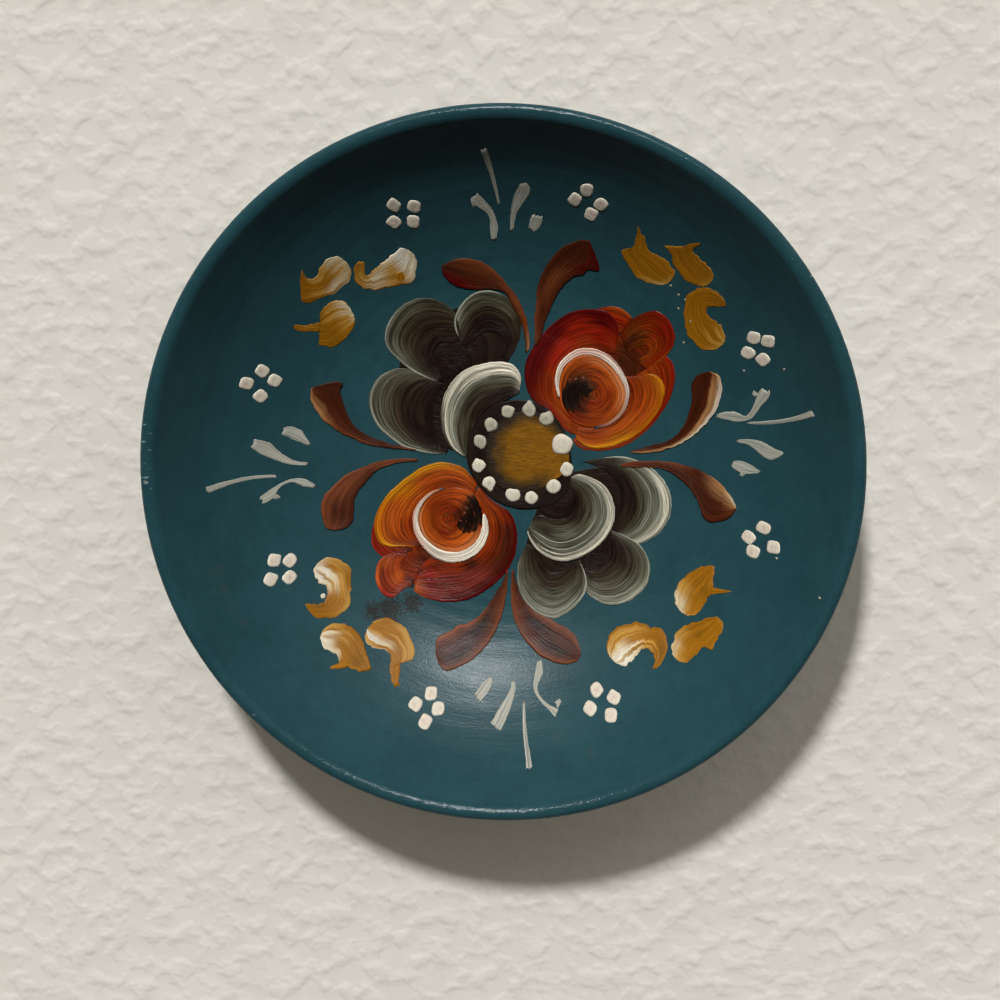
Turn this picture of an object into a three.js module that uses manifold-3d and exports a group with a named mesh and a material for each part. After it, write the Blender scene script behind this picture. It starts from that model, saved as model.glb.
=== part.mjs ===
// A turned wooden wall plate: one deep dished and painted piece of wood on a low foot ring, with a
// folded brass strap pinned into the recess inside the foot, and a D-shaped wire ring that swings
// in the strap's fold. It lies face up on its foot, +Z up, with +Y towards the top of the plate as
// it hangs. The origin is the middle of the foot, on the surface that the plate lies on.
import * as THREE from "three";
import Module from "manifold-3d";
import { mergeVertices } from "three/addons/utils/BufferGeometryUtils.js";

const wasm = await Module();
wasm.setup();

// Driving dimensions of the turned plate, in millimetres and degrees
const PLATE_RADIUS = 100;
const PLATE_HEIGHT = 45;
const LIP_THICKNESS = 3.4;
const WELL_RADIUS = 36; // the flat middle of the dish
const DISH_SLOPE = 52; // of the dish where it meets the lip
const BACK_SLOPE = 54; // of the back where it meets the lip
const BACK_LOW_SLOPE = 12; // of the back where it leaves the foot
const SWEEP_FULLNESS = 0.62; // how closely a sweep follows its two straight ends
const FLOOR_THICKNESS = 4.5; // between the dish and the recess
const FOOT_RADIUS = 52;
const FOOT_WIDTH = 6;
const FOOT_HEIGHT = 3; // of the foot's upright side
const FOOT_COVE = 2.2; // hollow curve between the foot and the back
const FOOT_ROUNDING = 0.7;
const CENTRE_MARK_RADIUS = 1.6; // left by the lathe's tail centre
const CENTRE_MARK_DEPTH = 1.1;

// Driving dimensions of the hanger
const WIRE_RADIUS = 0.9;
const RING_WIDTH = 12; // between the middles of the ring's two arms
const RING_HEIGHT = 10.5; // from the middle of its bar to the middle of its crown
const RING_CORNER = 2.4;
const RING_SPLIT = 0.5; // where the ends of the bent wire meet, inside the fold
const STRAP_THICKNESS = 0.6;
const STRAP_WIDTH = 8;
const STRAP_CORNER = 1.5;
const LEAF_GAP = 0.15; // between the strap's two leaves
const NECK_RADIUS = 0.55; // where the lower leaf bends back out of the fold
const PIN_NAMES = ["upper", "lower"];
const PIN_RADIUS = 0.65;
const PIN_HEAD_RADIUS = 1.7;
const PIN_HEAD_HEIGHT = 0.7;
const PIN_BITE = 3.2; // how deep a pin goes into the wood
const PIN_POINT = 1.4;
const PIN_PITCH = 6.5;
const PIN_OFFSET = 5.4; // from the ring's axis to the first pin
const PIN_MARGIN = 3.6; // from the last pin to the strap's end

// Clearances
const RUNNING_CLEARANCE = 0.25; // round the wire in the fold
const PIN_CLEARANCE = 0.15; // round a pin in the strap and in the wood
const RING_CLEARANCE = 2; // from the ring's crown to the wall of the recess
const SURFACE_CLEARANCE = 0.8; // from the fold to the surface that the foot lies on

// How finely the curves are cut
const TURNED_STEPS = 84;
const SWEEP_STEPS = 11;
const LIP_STEPS = 4; // on a quarter turn
const COVE_STEPS = 4;
const ROUNDING_STEPS = 3;
const FOLD_STEPS = 16;
const CORNER_STEPS = 4;
const PIN_STEPS = 16;
const DOME_STEPS = 4;
const WIRE_SIDES = 12;
const RING_STEPS = 56;

// Sizes and places that follow from them
const foldRadius = WIRE_RADIUS + RUNNING_CLEARANCE + STRAP_THICKNESS;
const recessDepth = 2 * foldRadius + SURFACE_CLEARANCE;
const recessRadius = FOOT_RADIUS - FOOT_WIDTH;
const wellHeight = recessDepth + FLOOR_THICKNESS;
const leavesThickness = 2 * STRAP_THICKNESS + LEAF_GAP;
const ringAxis = {
  y: recessRadius - RING_CLEARANCE - WIRE_RADIUS - RING_HEIGHT,
  z: recessDepth - foldRadius,
};
const pinPlaces = PIN_NAMES.map((_, i) => ringAxis.y - PIN_OFFSET - i * PIN_PITCH);
const strapEnd = Math.min(...pinPlaces) - PIN_MARGIN;

const radians = THREE.MathUtils.degToRad;
const rise = (degrees) => Math.tan(radians(degrees));

// Points on an arc, from one angle to another in degrees, clockwise where the angle falls
function arc(centre, radius, from, to, steps) {
  const clockwise = to < from;
  const curve = new THREE.EllipseCurve(
    centre.x,
    centre.y,
    radius,
    radius,
    radians(from),
    radians(to),
    clockwise,
  );
  return curve.getPoints(steps);
}

// Points on a curve that leaves its start at one slope, meets its end at another, and bends round
// the place where the two slopes cross
function sweep(start, startSlope, end, endSlope) {
  const run = end.x - start.x;
  const crossing = (end.y - start.y - run * rise(endSlope)) / (rise(startSlope) - rise(endSlope));
  const ahead = SWEEP_FULLNESS * crossing;
  const behind = SWEEP_FULLNESS * (run - crossing);
  const curve = new THREE.CubicBezierCurve(
    start,
    new THREE.Vector2(start.x + ahead, start.y + ahead * rise(startSlope)),
    new THREE.Vector2(end.x - behind, end.y - behind * rise(endSlope)),
    end,
  );
  return curve.getPoints(SWEEP_STEPS);
}

// A solid turned about +Z from a profile of radius and height, listed from its low end upwards
function turned(profile, steps) {
  const apart = profile.filter((p, i) => i === 0 || p.distanceTo(profile[i - 1]) > 1e-6);
  return new THREE.LatheGeometry(apart, steps).rotateX(Math.PI / 2);
}

// A flat outline pushed out along +Z
function pushed(shape, depth, curveSegments) {
  return new THREE.ExtrudeGeometry(shape, { depth, curveSegments, bevelEnabled: false });
}

// The geometry as a closed solid that can be cut
function solidOf(geometry) {
  const bare = geometry.index ? geometry.toNonIndexed() : geometry.clone();
  bare.deleteAttribute("normal");
  bare.deleteAttribute("uv");
  const merged = mergeVertices(bare, 1e-4);
  const corners = merged.index.array;
  const kept = [];
  for (let i = 0; i < corners.length; i += 3) {
    const [a, b, c] = corners.slice(i, i + 3);
    if (a !== b && b !== c && c !== a) kept.push(a, b, c);
  }
  return new wasm.Manifold(
    new wasm.Mesh({
      numProp: 3,
      vertProperties: merged.attributes.position.array,
      triVerts: new Uint32Array(kept),
    }),
  );
}

// A cut solid as a geometry again
function geometryOf(solid) {
  const mesh = solid.getMesh();
  const geometry = new THREE.BufferGeometry()
    .setAttribute("position", new THREE.BufferAttribute(mesh.vertProperties, 3))
    .setIndex(new THREE.BufferAttribute(mesh.triVerts, 1))
    .toNonIndexed();
  geometry.computeVertexNormals();
  return geometry;
}

function named(name, geometry, material) {
  const mesh = new THREE.Mesh(geometry, material);
  mesh.name = name;
  return mesh;
}

// The round hole that a pin leaves room for, from one height to another
function pinHole(y, from, to) {
  const radius = PIN_RADIUS + PIN_CLEARANCE;
  const hole = new THREE.CylinderGeometry(radius, radius, to - from, PIN_STEPS).rotateX(Math.PI / 2);
  return solidOf(hole.translate(0, y, (from + to) / 2));
}

// The plate's half section, from the middle of its underside round the foot, the back and the lip
// to the middle of the dish
function plateProfile() {
  const at = (x, y) => new THREE.Vector2(x, y);
  const lipRadius = LIP_THICKNESS / 2;
  const lipCentre = at(PLATE_RADIUS - lipRadius, PLATE_HEIGHT - lipRadius);
  const lip = [
    ...arc(lipCentre, lipRadius, BACK_SLOPE - 90, 0, LIP_STEPS / 2),
    ...arc(lipCentre, lipRadius, 0, 90, LIP_STEPS),
    ...arc(lipCentre, lipRadius, 90, DISH_SLOPE + 90, LIP_STEPS / 2),
  ];
  const coveCentre = at(FOOT_RADIUS + FOOT_COVE, FOOT_HEIGHT);
  const cove = arc(coveCentre, FOOT_COVE, 180, BACK_LOW_SLOPE + 90, COVE_STEPS);
  const innerEdge = at(recessRadius + FOOT_ROUNDING, FOOT_ROUNDING);
  const outerEdge = at(FOOT_RADIUS - FOOT_ROUNDING, FOOT_ROUNDING);
  const dish = sweep(at(WELL_RADIUS, wellHeight), 0, lip.at(-1), DISH_SLOPE).reverse();
  return [
    at(0, recessDepth + CENTRE_MARK_DEPTH),
    at(CENTRE_MARK_RADIUS, recessDepth),
    at(recessRadius, recessDepth),
    ...arc(innerEdge, FOOT_ROUNDING, 180, 270, ROUNDING_STEPS),
    ...arc(outerEdge, FOOT_ROUNDING, 270, 360, ROUNDING_STEPS),
    ...cove,
    ...sweep(cove.at(-1), BACK_LOW_SLOPE, lip[0], BACK_SLOPE),
    ...lip,
    ...dish,
    at(WELL_RADIUS / 2, wellHeight),
    at(0, wellHeight),
  ];
}

function turnedPlate(paint) {
  let plate = solidOf(turned(plateProfile(), TURNED_STEPS));
  for (const y of pinPlaces) {
    plate = plate.subtract(pinHole(y, recessDepth - PIN_BITE, recessDepth + PIN_BITE));
  }
  return named("turned_plate", geometryOf(plate), paint);
}

// The strap's edge seen from the side, y along the strap and z up: the upper leaf lies on the
// wood, the fold goes round the wire, and a neck brings the lower leaf up against the upper one
function strapOutline() {
  const eye = new THREE.Vector2(ringAxis.y, ringAxis.z);
  const half = STRAP_THICKNESS / 2;
  const eyeRadius = foldRadius - half;
  const neckHeight = eyeRadius - STRAP_THICKNESS - LEAF_GAP - NECK_RADIUS;
  const neckReach = Math.sqrt((eyeRadius + NECK_RADIUS) ** 2 - neckHeight ** 2);
  const neck = new THREE.Vector2(eye.x - neckReach, eye.y + neckHeight);
  const lean = THREE.MathUtils.radToDeg(Math.asin(neckHeight / (eyeRadius + NECK_RADIUS)));
  const side = (offset) => [
    new THREE.Vector2(strapEnd, eye.y + eyeRadius + offset),
    ...arc(eye, eyeRadius + offset, 90, -180 - lean, FOLD_STEPS),
    ...arc(neck, NECK_RADIUS - offset, -lean, 90, CORNER_STEPS).slice(1),
    new THREE.Vector2(strapEnd, neck.y + NECK_RADIUS - offset),
  ];
  return new THREE.Shape([...side(half), ...side(-half).reverse()]);
}

// The strap seen from above, with its tail corners rounded
function strapPlan() {
  const half = STRAP_WIDTH / 2;
  const front = ringAxis.y + 2 * foldRadius;
  const plan = new THREE.Shape();
  plan.moveTo(half, front);
  plan.lineTo(-half, front);
  plan.lineTo(-half, strapEnd + STRAP_CORNER);
  plan.absarc(-half + STRAP_CORNER, strapEnd + STRAP_CORNER, STRAP_CORNER, Math.PI, 1.5 * Math.PI);
  plan.lineTo(half - STRAP_CORNER, strapEnd);
  plan.absarc(half - STRAP_CORNER, strapEnd + STRAP_CORNER, STRAP_CORNER, 1.5 * Math.PI, 2 * Math.PI);
  return plan;
}

function hangerStrap(brass) {
  const folded = pushed(strapOutline(), 2 * STRAP_WIDTH, FOLD_STEPS);
  folded.translate(0, 0, -STRAP_WIDTH);
  // The outline's x and y become the plate's y and z, and its depth becomes x
  folded.applyMatrix4(new THREE.Matrix4().set(0, 0, 1, 0, 1, 0, 0, 0, 0, 1, 0, 0, 0, 0, 0, 1));
  const trim = pushed(strapPlan(), 2 * recessDepth, CORNER_STEPS);
  let strap = solidOf(folded).intersect(solidOf(trim.translate(0, 0, -recessDepth / 2)));
  for (const y of pinPlaces) {
    strap = strap.subtract(pinHole(y, 0, 2 * recessDepth));
  }
  return named("hanger_strap", geometryOf(strap), brass);
}

// The ring's middle line: a bar split in the middle, two tight corners and a round crown
class RingLine extends THREE.Curve {
  constructor() {
    super();
    const arm = RING_WIDTH / 2;
    const corner = arm - RING_CORNER;
    this.path = new THREE.Path();
    this.path.moveTo(RING_SPLIT / 2, 0);
    this.path.lineTo(corner, 0);
    this.path.absarc(corner, RING_CORNER, RING_CORNER, -Math.PI / 2, 0);
    this.path.lineTo(arm, RING_HEIGHT - arm);
    this.path.absarc(0, RING_HEIGHT - arm, arm, 0, Math.PI);
    this.path.lineTo(-arm, RING_CORNER);
    this.path.absarc(-corner, RING_CORNER, RING_CORNER, Math.PI, 1.5 * Math.PI);
    this.path.lineTo(-RING_SPLIT / 2, 0);
  }

  getPoint(t, target = new THREE.Vector3()) {
    const point = this.path.getPointAt(t);
    return target.set(point.x, point.y, 0);
  }
}

function hangerRing(brass) {
  const section = new THREE.Shape().absarc(0, 0, WIRE_RADIUS, 0, 2 * Math.PI);
  const wire = new THREE.ExtrudeGeometry(section, {
    steps: RING_STEPS,
    curveSegments: WIRE_SIDES / 2,
    extrudePath: new RingLine(),
  });
  const ring = named("hanger_ring", wire, brass);
  ring.position.set(0, ringAxis.y, ringAxis.z);
  return ring;
}

// A pin with a low domed head under the strap and its point in the wood
function hangerPin(name, y, brass) {
  const at = (x, z) => new THREE.Vector2(x, z);
  const length = leavesThickness + PIN_BITE - PIN_CLEARANCE;
  const dome = new THREE.EllipseCurve(0, 0, PIN_HEAD_RADIUS, PIN_HEAD_HEIGHT, -Math.PI / 2, 0);
  const profile = [
    ...dome.getPoints(DOME_STEPS),
    at(PIN_RADIUS, 0),
    at(PIN_RADIUS, length - PIN_POINT),
    at(0, length),
  ];
  const pin = named(name, turned(profile, PIN_STEPS), brass);
  pin.position.set(0, y, recessDepth - leavesThickness);
  return pin;
}

const paint = new THREE.MeshStandardMaterial({ color: 0x325057, roughness: 0.45 });
const brass = new THREE.MeshStandardMaterial({ color: 0xb08d4a, roughness: 0.35, metalness: 1 });

const group = new THREE.Group();
group.add(turnedPlate(paint), hangerStrap(brass), hangerRing(brass));
PIN_NAMES.forEach((name, i) => group.add(hangerPin(`hanger_pin_${name}`, pinPlaces[i], brass)));

export default group;
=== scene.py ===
"""A turned wooden wall plate in teal oil paint, with flowers, leaves and scrolls brushed over it.

The turned plate is a fine mesh made from the same profile as the frame's solid. The painted
strokes are thin closed films of paint laid on the dish, gathered into named pieces. Lengths are
written in millimetres and turned into metres where a mesh is made.
"""
import math

import bmesh
import bpy
import numpy as np
from mathutils import Matrix, Vector

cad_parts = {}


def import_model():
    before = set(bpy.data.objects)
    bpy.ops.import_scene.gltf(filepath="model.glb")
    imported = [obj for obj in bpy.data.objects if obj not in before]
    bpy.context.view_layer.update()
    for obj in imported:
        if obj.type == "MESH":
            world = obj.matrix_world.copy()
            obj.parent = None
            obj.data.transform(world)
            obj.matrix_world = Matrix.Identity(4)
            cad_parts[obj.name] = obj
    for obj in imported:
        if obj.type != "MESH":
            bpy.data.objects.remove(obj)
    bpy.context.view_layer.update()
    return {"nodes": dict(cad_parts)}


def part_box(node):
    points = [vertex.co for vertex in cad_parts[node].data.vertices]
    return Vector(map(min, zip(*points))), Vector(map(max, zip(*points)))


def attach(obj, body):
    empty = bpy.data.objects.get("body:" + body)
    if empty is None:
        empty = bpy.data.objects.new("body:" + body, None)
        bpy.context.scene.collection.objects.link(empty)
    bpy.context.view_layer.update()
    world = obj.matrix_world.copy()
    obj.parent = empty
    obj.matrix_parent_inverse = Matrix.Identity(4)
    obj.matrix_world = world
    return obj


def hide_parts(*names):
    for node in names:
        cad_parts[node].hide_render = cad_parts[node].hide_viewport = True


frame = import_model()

MM = 0.001

# Sizes of the turned plate, in millimetres and degrees
PLATE_BOX = [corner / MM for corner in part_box("turned_plate")]
PLATE_RADIUS = PLATE_BOX[1].x
PLATE_HEIGHT = PLATE_BOX[1].z
LIP_THICKNESS = 3.4
WELL_RADIUS = 36.0
WELL_HEIGHT = 8.8
DISH_SLOPE = 52.0
BACK_SLOPE = 54.0
BACK_LOW_SLOPE = 12.0
SWEEP_FULLNESS = 0.62
FOOT_RADIUS = 52.0
FOOT_WIDTH = 6.0
FOOT_HEIGHT = 3.0
FOOT_COVE = 2.2
FOOT_ROUNDING = 0.7
RECESS_DEPTH = 4.3
CENTRE_MARK_RADIUS = 1.6
CENTRE_MARK_DEPTH = 1.1

# How finely the plate is cut: its dish in rings, down to a small middle, and the back wider apart
PLATE_SEGMENTS = 448
RING_PITCH = 0.4592
MIDDLE_RADIUS = 0.56
BACK_PITCH = 1.1
RECESS_PITCH = 2.0

# The gentle waves that hand turning leaves in the dish. Their spacing drifts a little
WAVE_PITCH = 5.3
WAVE_HEIGHT = 0.025
WAVE_DRIFT = 1.9
WAVE_DRIFT_RUN = 7.1
WAVE_FADE = 6.0

# The lip's inner side is rounded over softly, and the dish swells a little to meet it
SOFT_ROUNDING = 3.2
SOFT_END_SLOPE = 51.1
SWELL_START = 82.0

# The paint films: their mesh on top and underneath, and how deep they sit in the dish
STEP_ACROSS = 0.22
STEP_ALONG = 0.9
UNDER_STEP = 3.0
FILM_DEPTH = 0.08
LINE_STEPS = 16

# The rise from one level of paint to the next, and the widths over which a stroke's edge rounds
# off and its ridges begin
LEVEL_STEP = 0.045
EDGE_ROUNDING = 0.16
RIDGE_EDGE = 0.35

# Lengths of the brush's fine and broad marks, of torn ends and of wavering sides. Every stroke up
# to the cycle's count reads another part of the bristle noise
FINE_RUN = 26.0
BROAD_RUN = 34.0
RAGGED_CELL = 0.5
SHAKE_CELL = 1.1
BRUSH_CYCLE = 97

# A dab of paint: its mesh, its lumps and patches, and the reach of a tip that is drawn out
DAB_SIDES = 26
DAB_RINGS = 7
DAB_LUMP = 0.8
DAB_PATCH = 0.7
TIP_REACH = 0.34

# The camera, fitted to the plate's outline in a frame 1000 pixels wide
CAMERA_PLACE = Vector((27.57, 93.74, 596.41)) * MM
CAMERA_TARGET = Vector((0, 0, PLATE_HEIGHT)) * MM
CAMERA_LENS = 73.49
CAMERA_SENSOR = 36.0
CAMERA_SHIFT_Y = -0.0268

# Lamps: where each one's light comes from, the share of plain light that it gives a surface facing
# along Z, its width in degrees, and whether it lights matt surfaces and shows in glossy ones
LAMPS = {
    "key": ((-0.16, 0.86, 1.0), 0.72, 5.2, True, False),
    "sheen": ((0.06, 0.80, 1.0), 0.86, 8.5, False, True),
    "side": ((0.30, 0.82, 1.0), 0.025, 14.0, True, False),
    "fill": ((0.9, 0.5, 0.75), 0.03, 50.0, True, False),
    "sky": ((0.15, 1.0, 0.55), 0.09, 90.0, True, True),
    "under": ((0.1, -0.2, -1.0), 0.4, 60.0, True, True),
}
WORLD_COLOUR = (1.0, 0.985, 0.96, 1.0)
WORLD_LEVEL = 0.034

# The plaster wall: its colour, and the share of plain light that it shows even in shadow
WALL = (217, 213, 204)
WALL_GLOW = 0.1

# The heights in metres between which painted shade deepens on the far backdrop's raised edge
DIM_FROM = 0.12
DIM_TO = 0.5

# How far the floor lies below the plate's foot
FLOOR_GAP = 0.05

# Colours as they look in plain light, as sRGB from 0 to 255
PALETTE = {
    "soot": (22, 10, 6),
    "umber": (32, 20, 12),
    "bark": (44, 34, 22),
    "olive": (66, 62, 47),
    "stone": (92, 91, 76),
    "ash": (132, 132, 116),
    "bone": (176, 170, 150),
    "chalk": (216, 206, 186),
    "blush": (196, 160, 144),
    "wine": (104, 38, 28),
    "maroon": (76, 4, 2),
    "red": (122, 22, 3),
    "brick": (118, 36, 4),
    "rust": (132, 50, 6),
    "orange": (156, 68, 14),
    "peach": (178, 106, 62),
    "amber": (160, 88, 4),
    "yellow": (184, 120, 12),
    "cream": (206, 188, 152),
    "gold": (122, 80, 4),
    "moss": (82, 56, 12),
    "mist": (166, 164, 150),
    "ochre": (148, 95, 10),
    "sienna": (96, 42, 6),
    "tan": (160, 112, 70),
    "buff": (180, 134, 58),
    "cocoa": (66, 26, 8),
    "russet": (104, 52, 24),
    "teal": (36, 70, 76),
}


def linear(colour):
    """An sRGB colour from 0 to 255 as linear values."""
    c = np.array(colour, float) / 255
    return np.where(c <= 0.04045, c / 12.92, ((c + 0.055) / 1.055) ** 2.4)


# The turned plate's profile

def sweep(start, start_slope, end, end_slope, steps):
    """A cubic that leaves start at one slope, meets end at another and bends round their crossing."""
    rise_start, rise_end = (math.tan(math.radians(s)) for s in (start_slope, end_slope))
    run = end[0] - start[0]
    crossing = (end[1] - start[1] - run * rise_end) / (rise_start - rise_end)
    ahead, behind = SWEEP_FULLNESS * crossing, SWEEP_FULLNESS * (run - crossing)
    near = start + ahead * np.array([1, rise_start])
    far = end - behind * np.array([1, rise_end])
    t = np.linspace(0, 1, steps + 1)[:, None]
    return (1 - t) ** 3 * start + 3 * t * (1 - t) ** 2 * near + 3 * t * t * (1 - t) * far + t**3 * end


def arc(centre, radius, first, last, steps):
    """Points on an arc from one angle to another, in degrees."""
    angles = np.radians(np.linspace(first, last, steps + 1))
    return np.array(centre) + radius * np.stack([np.cos(angles), np.sin(angles)], 1)


LIP = LIP_THICKNESS / 2
LIP_CENTRE = (PLATE_RADIUS - LIP, PLATE_HEIGHT - LIP)
LIP_ARC = arc(LIP_CENTRE, LIP, BACK_SLOPE - 90, DISH_SLOPE + 90, 28)
DISH_CURVE = sweep(np.array([WELL_RADIUS, WELL_HEIGHT]), 0, LIP_ARC[-1], DISH_SLOPE, 600)
SOFT_CENTRE = (LIP_CENTRE[0], PLATE_HEIGHT - SOFT_ROUNDING)
SOFT_ARC = arc(SOFT_CENTRE, SOFT_ROUNDING, 90, SOFT_END_SLOPE + 90, 20)
SWELL_END = SOFT_ARC[-1, 0]
SWELL = SOFT_ARC[-1, 1] - np.interp(SWELL_END, DISH_CURVE[:, 0], DISH_CURVE[:, 1])


def dish_height(r):
    """Height of the dish at a radius, with the waves of hand turning that fade out at the lip and
    the swell that meets the lip's soft inner side."""
    plain = np.where(r < WELL_RADIUS, WELL_HEIGHT, np.interp(r, DISH_CURVE[:, 0], DISH_CURVE[:, 1]))
    wave = np.sin(2 * np.pi * r / WAVE_PITCH + WAVE_DRIFT * np.sin(r / WAVE_DRIFT_RUN))
    fade = np.clip((SWELL_END - r) / WAVE_FADE, 0, 1) * np.clip(r / WAVE_FADE, 0, 1)
    share = np.clip((r - SWELL_START) / (SWELL_END - SWELL_START), 0, 1)
    return plain + WAVE_HEIGHT * wave * fade + SWELL * share * share * (3 - 2 * share)


def laid(x, y, lift):
    """Points of the dish at plan places x and y, lifted off it along its own normal."""
    r = np.hypot(x, y)
    safe = np.maximum(r, 1e-6)
    slope = (dish_height(r + 0.2) - dish_height(np.maximum(r - 0.2, 0))) / 0.4
    steep = 1 / np.sqrt(1 + slope**2)
    inward = -slope * steep
    place = [x + lift * inward * x / safe, y + lift * inward * y / safe, dish_height(r) + lift * steep]
    return np.stack(place, -1)


def even(curve, pitch):
    """The same curve with points about one pitch apart."""
    length = np.concatenate([[0], np.cumsum(np.hypot(*np.diff(curve, axis=0).T))])
    marks = np.linspace(0, length[-1], max(2, round(length[-1] / pitch)) + 1)
    return np.stack([np.interp(marks, length, curve[:, k]) for k in (0, 1)], 1)


def plate_profile():
    """Half section from the middle of the underside, round foot, back and lip, to the dish's middle."""
    recess = FOOT_RADIUS - FOOT_WIDTH
    cove = arc((FOOT_RADIUS + FOOT_COVE, FOOT_HEIGHT), FOOT_COVE, 180, BACK_LOW_SLOPE + 90, 8)
    dish_r = np.arange(SWELL_END - RING_PITCH, MIDDLE_RADIUS, -RING_PITCH)
    crest = np.argmax(LIP_ARC[:, 1])
    parts = [
        [(0, RECESS_DEPTH + CENTRE_MARK_DEPTH), (CENTRE_MARK_RADIUS, RECESS_DEPTH)],
        even(np.array([(CENTRE_MARK_RADIUS + 1, RECESS_DEPTH), (recess - 0.5, RECESS_DEPTH)]),
             RECESS_PITCH),
        [(recess, RECESS_DEPTH)],
        arc((recess + FOOT_ROUNDING, FOOT_ROUNDING), FOOT_ROUNDING, 180, 270, 5),
        arc((FOOT_RADIUS - FOOT_ROUNDING, FOOT_ROUNDING), FOOT_ROUNDING, 270, 360, 5),
        cove,
        even(sweep(cove[-1], BACK_LOW_SLOPE, LIP_ARC[0], BACK_SLOPE, 200), BACK_PITCH)[1:-1],
        LIP_ARC[:crest],
        SOFT_ARC,
        np.stack([dish_r, dish_height(dish_r)], 1),
        [(0, float(dish_height(np.array(0.0))))],
    ]
    return np.concatenate([np.array(p, float) for p in parts])


# Noise, seeded, for the hand-made unevenness

def value_noise(rng, x, y):
    """Smooth random values from 0 to 1, with one lattice cell for each unit of x and of y."""
    x, y = x - x.min(), y - y.min()
    table = rng.random((int(x.max()) + 3, int(y.max()) + 3))
    i, j = x.astype(int), y.astype(int)
    fx, fy = x - i, y - j
    fx, fy = fx * fx * (3 - 2 * fx), fy * fy * (3 - 2 * fy)
    low = table[i, j] * (1 - fx) + table[i + 1, j] * fx
    high = table[i, j + 1] * (1 - fx) + table[i + 1, j + 1] * fx
    return low * (1 - fy) + high * fy


# Meshes

def mesh_object(name, points, faces, attributes, material):
    """A smooth-shaded mesh in metres from points in millimetres, with doubles merged."""
    mesh = bpy.data.meshes.new(name)
    mesh.from_pydata((points * MM).tolist(), [], faces)
    for key, (kind, values) in attributes.items():
        field = "color" if kind == "FLOAT_COLOR" else "vector" if kind == "FLOAT_VECTOR" else "value"
        data = mesh.attributes.new(key, kind, "POINT").data
        data.foreach_set(field, np.ascontiguousarray(values, np.float32).ravel())
    work = bmesh.new()
    work.from_mesh(mesh)
    bmesh.ops.remove_doubles(work, verts=work.verts, dist=0.012 * MM)
    bmesh.ops.dissolve_degenerate(work, edges=work.edges, dist=0.002 * MM)
    bmesh.ops.recalc_face_normals(work, faces=work.faces)
    work.to_mesh(mesh)
    work.free()
    mesh.polygons.foreach_set("use_smooth", [True] * len(mesh.polygons))
    mesh.materials.append(material)
    piece = bpy.data.objects.new(name, mesh)
    bpy.context.scene.collection.objects.link(piece)
    return piece


# Places of each kind, as the x, y and radius of soft spots in millimetres on the dish: dark
# smudges, brown scuffs, and lighter patches of painted sheen low in the dish
WORN_AND_SHEEN = [
    [(-34, -46.5, 5.2), (-27.5, -44.5, 3.6), (-38.5, -46.5, 3.0), (-45, -10, 2.2)],
    [(-81, -31, 3.0), (-79, -36, 2.4), (-77, -41, 2.2), (-74, -46, 2.0), (16, -80, 2.4),
     (25, -83, 2.2)],
    [(-8, -64, 9), (3, -62, 9), (-18, -62, 7)],
]
# Nicked stretches of the lip, whose pale marks stand partly for nicks and partly for glints: the
# middle and the half width in degrees, and how thick with marks. The reach is how far from the
# middle of the lip's section the marks are found
NICK_GLINT_STRETCHES = [(178, 8, 1.0), (163, 4, 0.5), (36, 5, 0.7), (24, 6, 0.5), (228, 4, 0.5), (341, 4, 0.5)]
NICK_GLINT_REACH = 2.6
# Angles on the lip's section between which the finish turns from the glossy dish to the dull back
GLOSS_ENDS = 60
DULL_BEGINS = 30


def revolved_faces(rows):
    """Faces between rings of points, closed by a last point at each end."""
    faces = []
    for row in range(0, (rows - 1) * PLATE_SEGMENTS, PLATE_SEGMENTS):
        above = row + PLATE_SEGMENTS
        for j in range(PLATE_SEGMENTS):
            k = (j + 1) % PLATE_SEGMENTS
            faces.append((row + j, row + k, above + k, above + j))
    count = rows * PLATE_SEGMENTS
    for row, tip in ((0, count), (count - PLATE_SEGMENTS, count + 1)):
        faces += [(tip, row + (j + 1) % PLATE_SEGMENTS, row + j) for j in range(PLATE_SEGMENTS)]
    return faces


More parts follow.
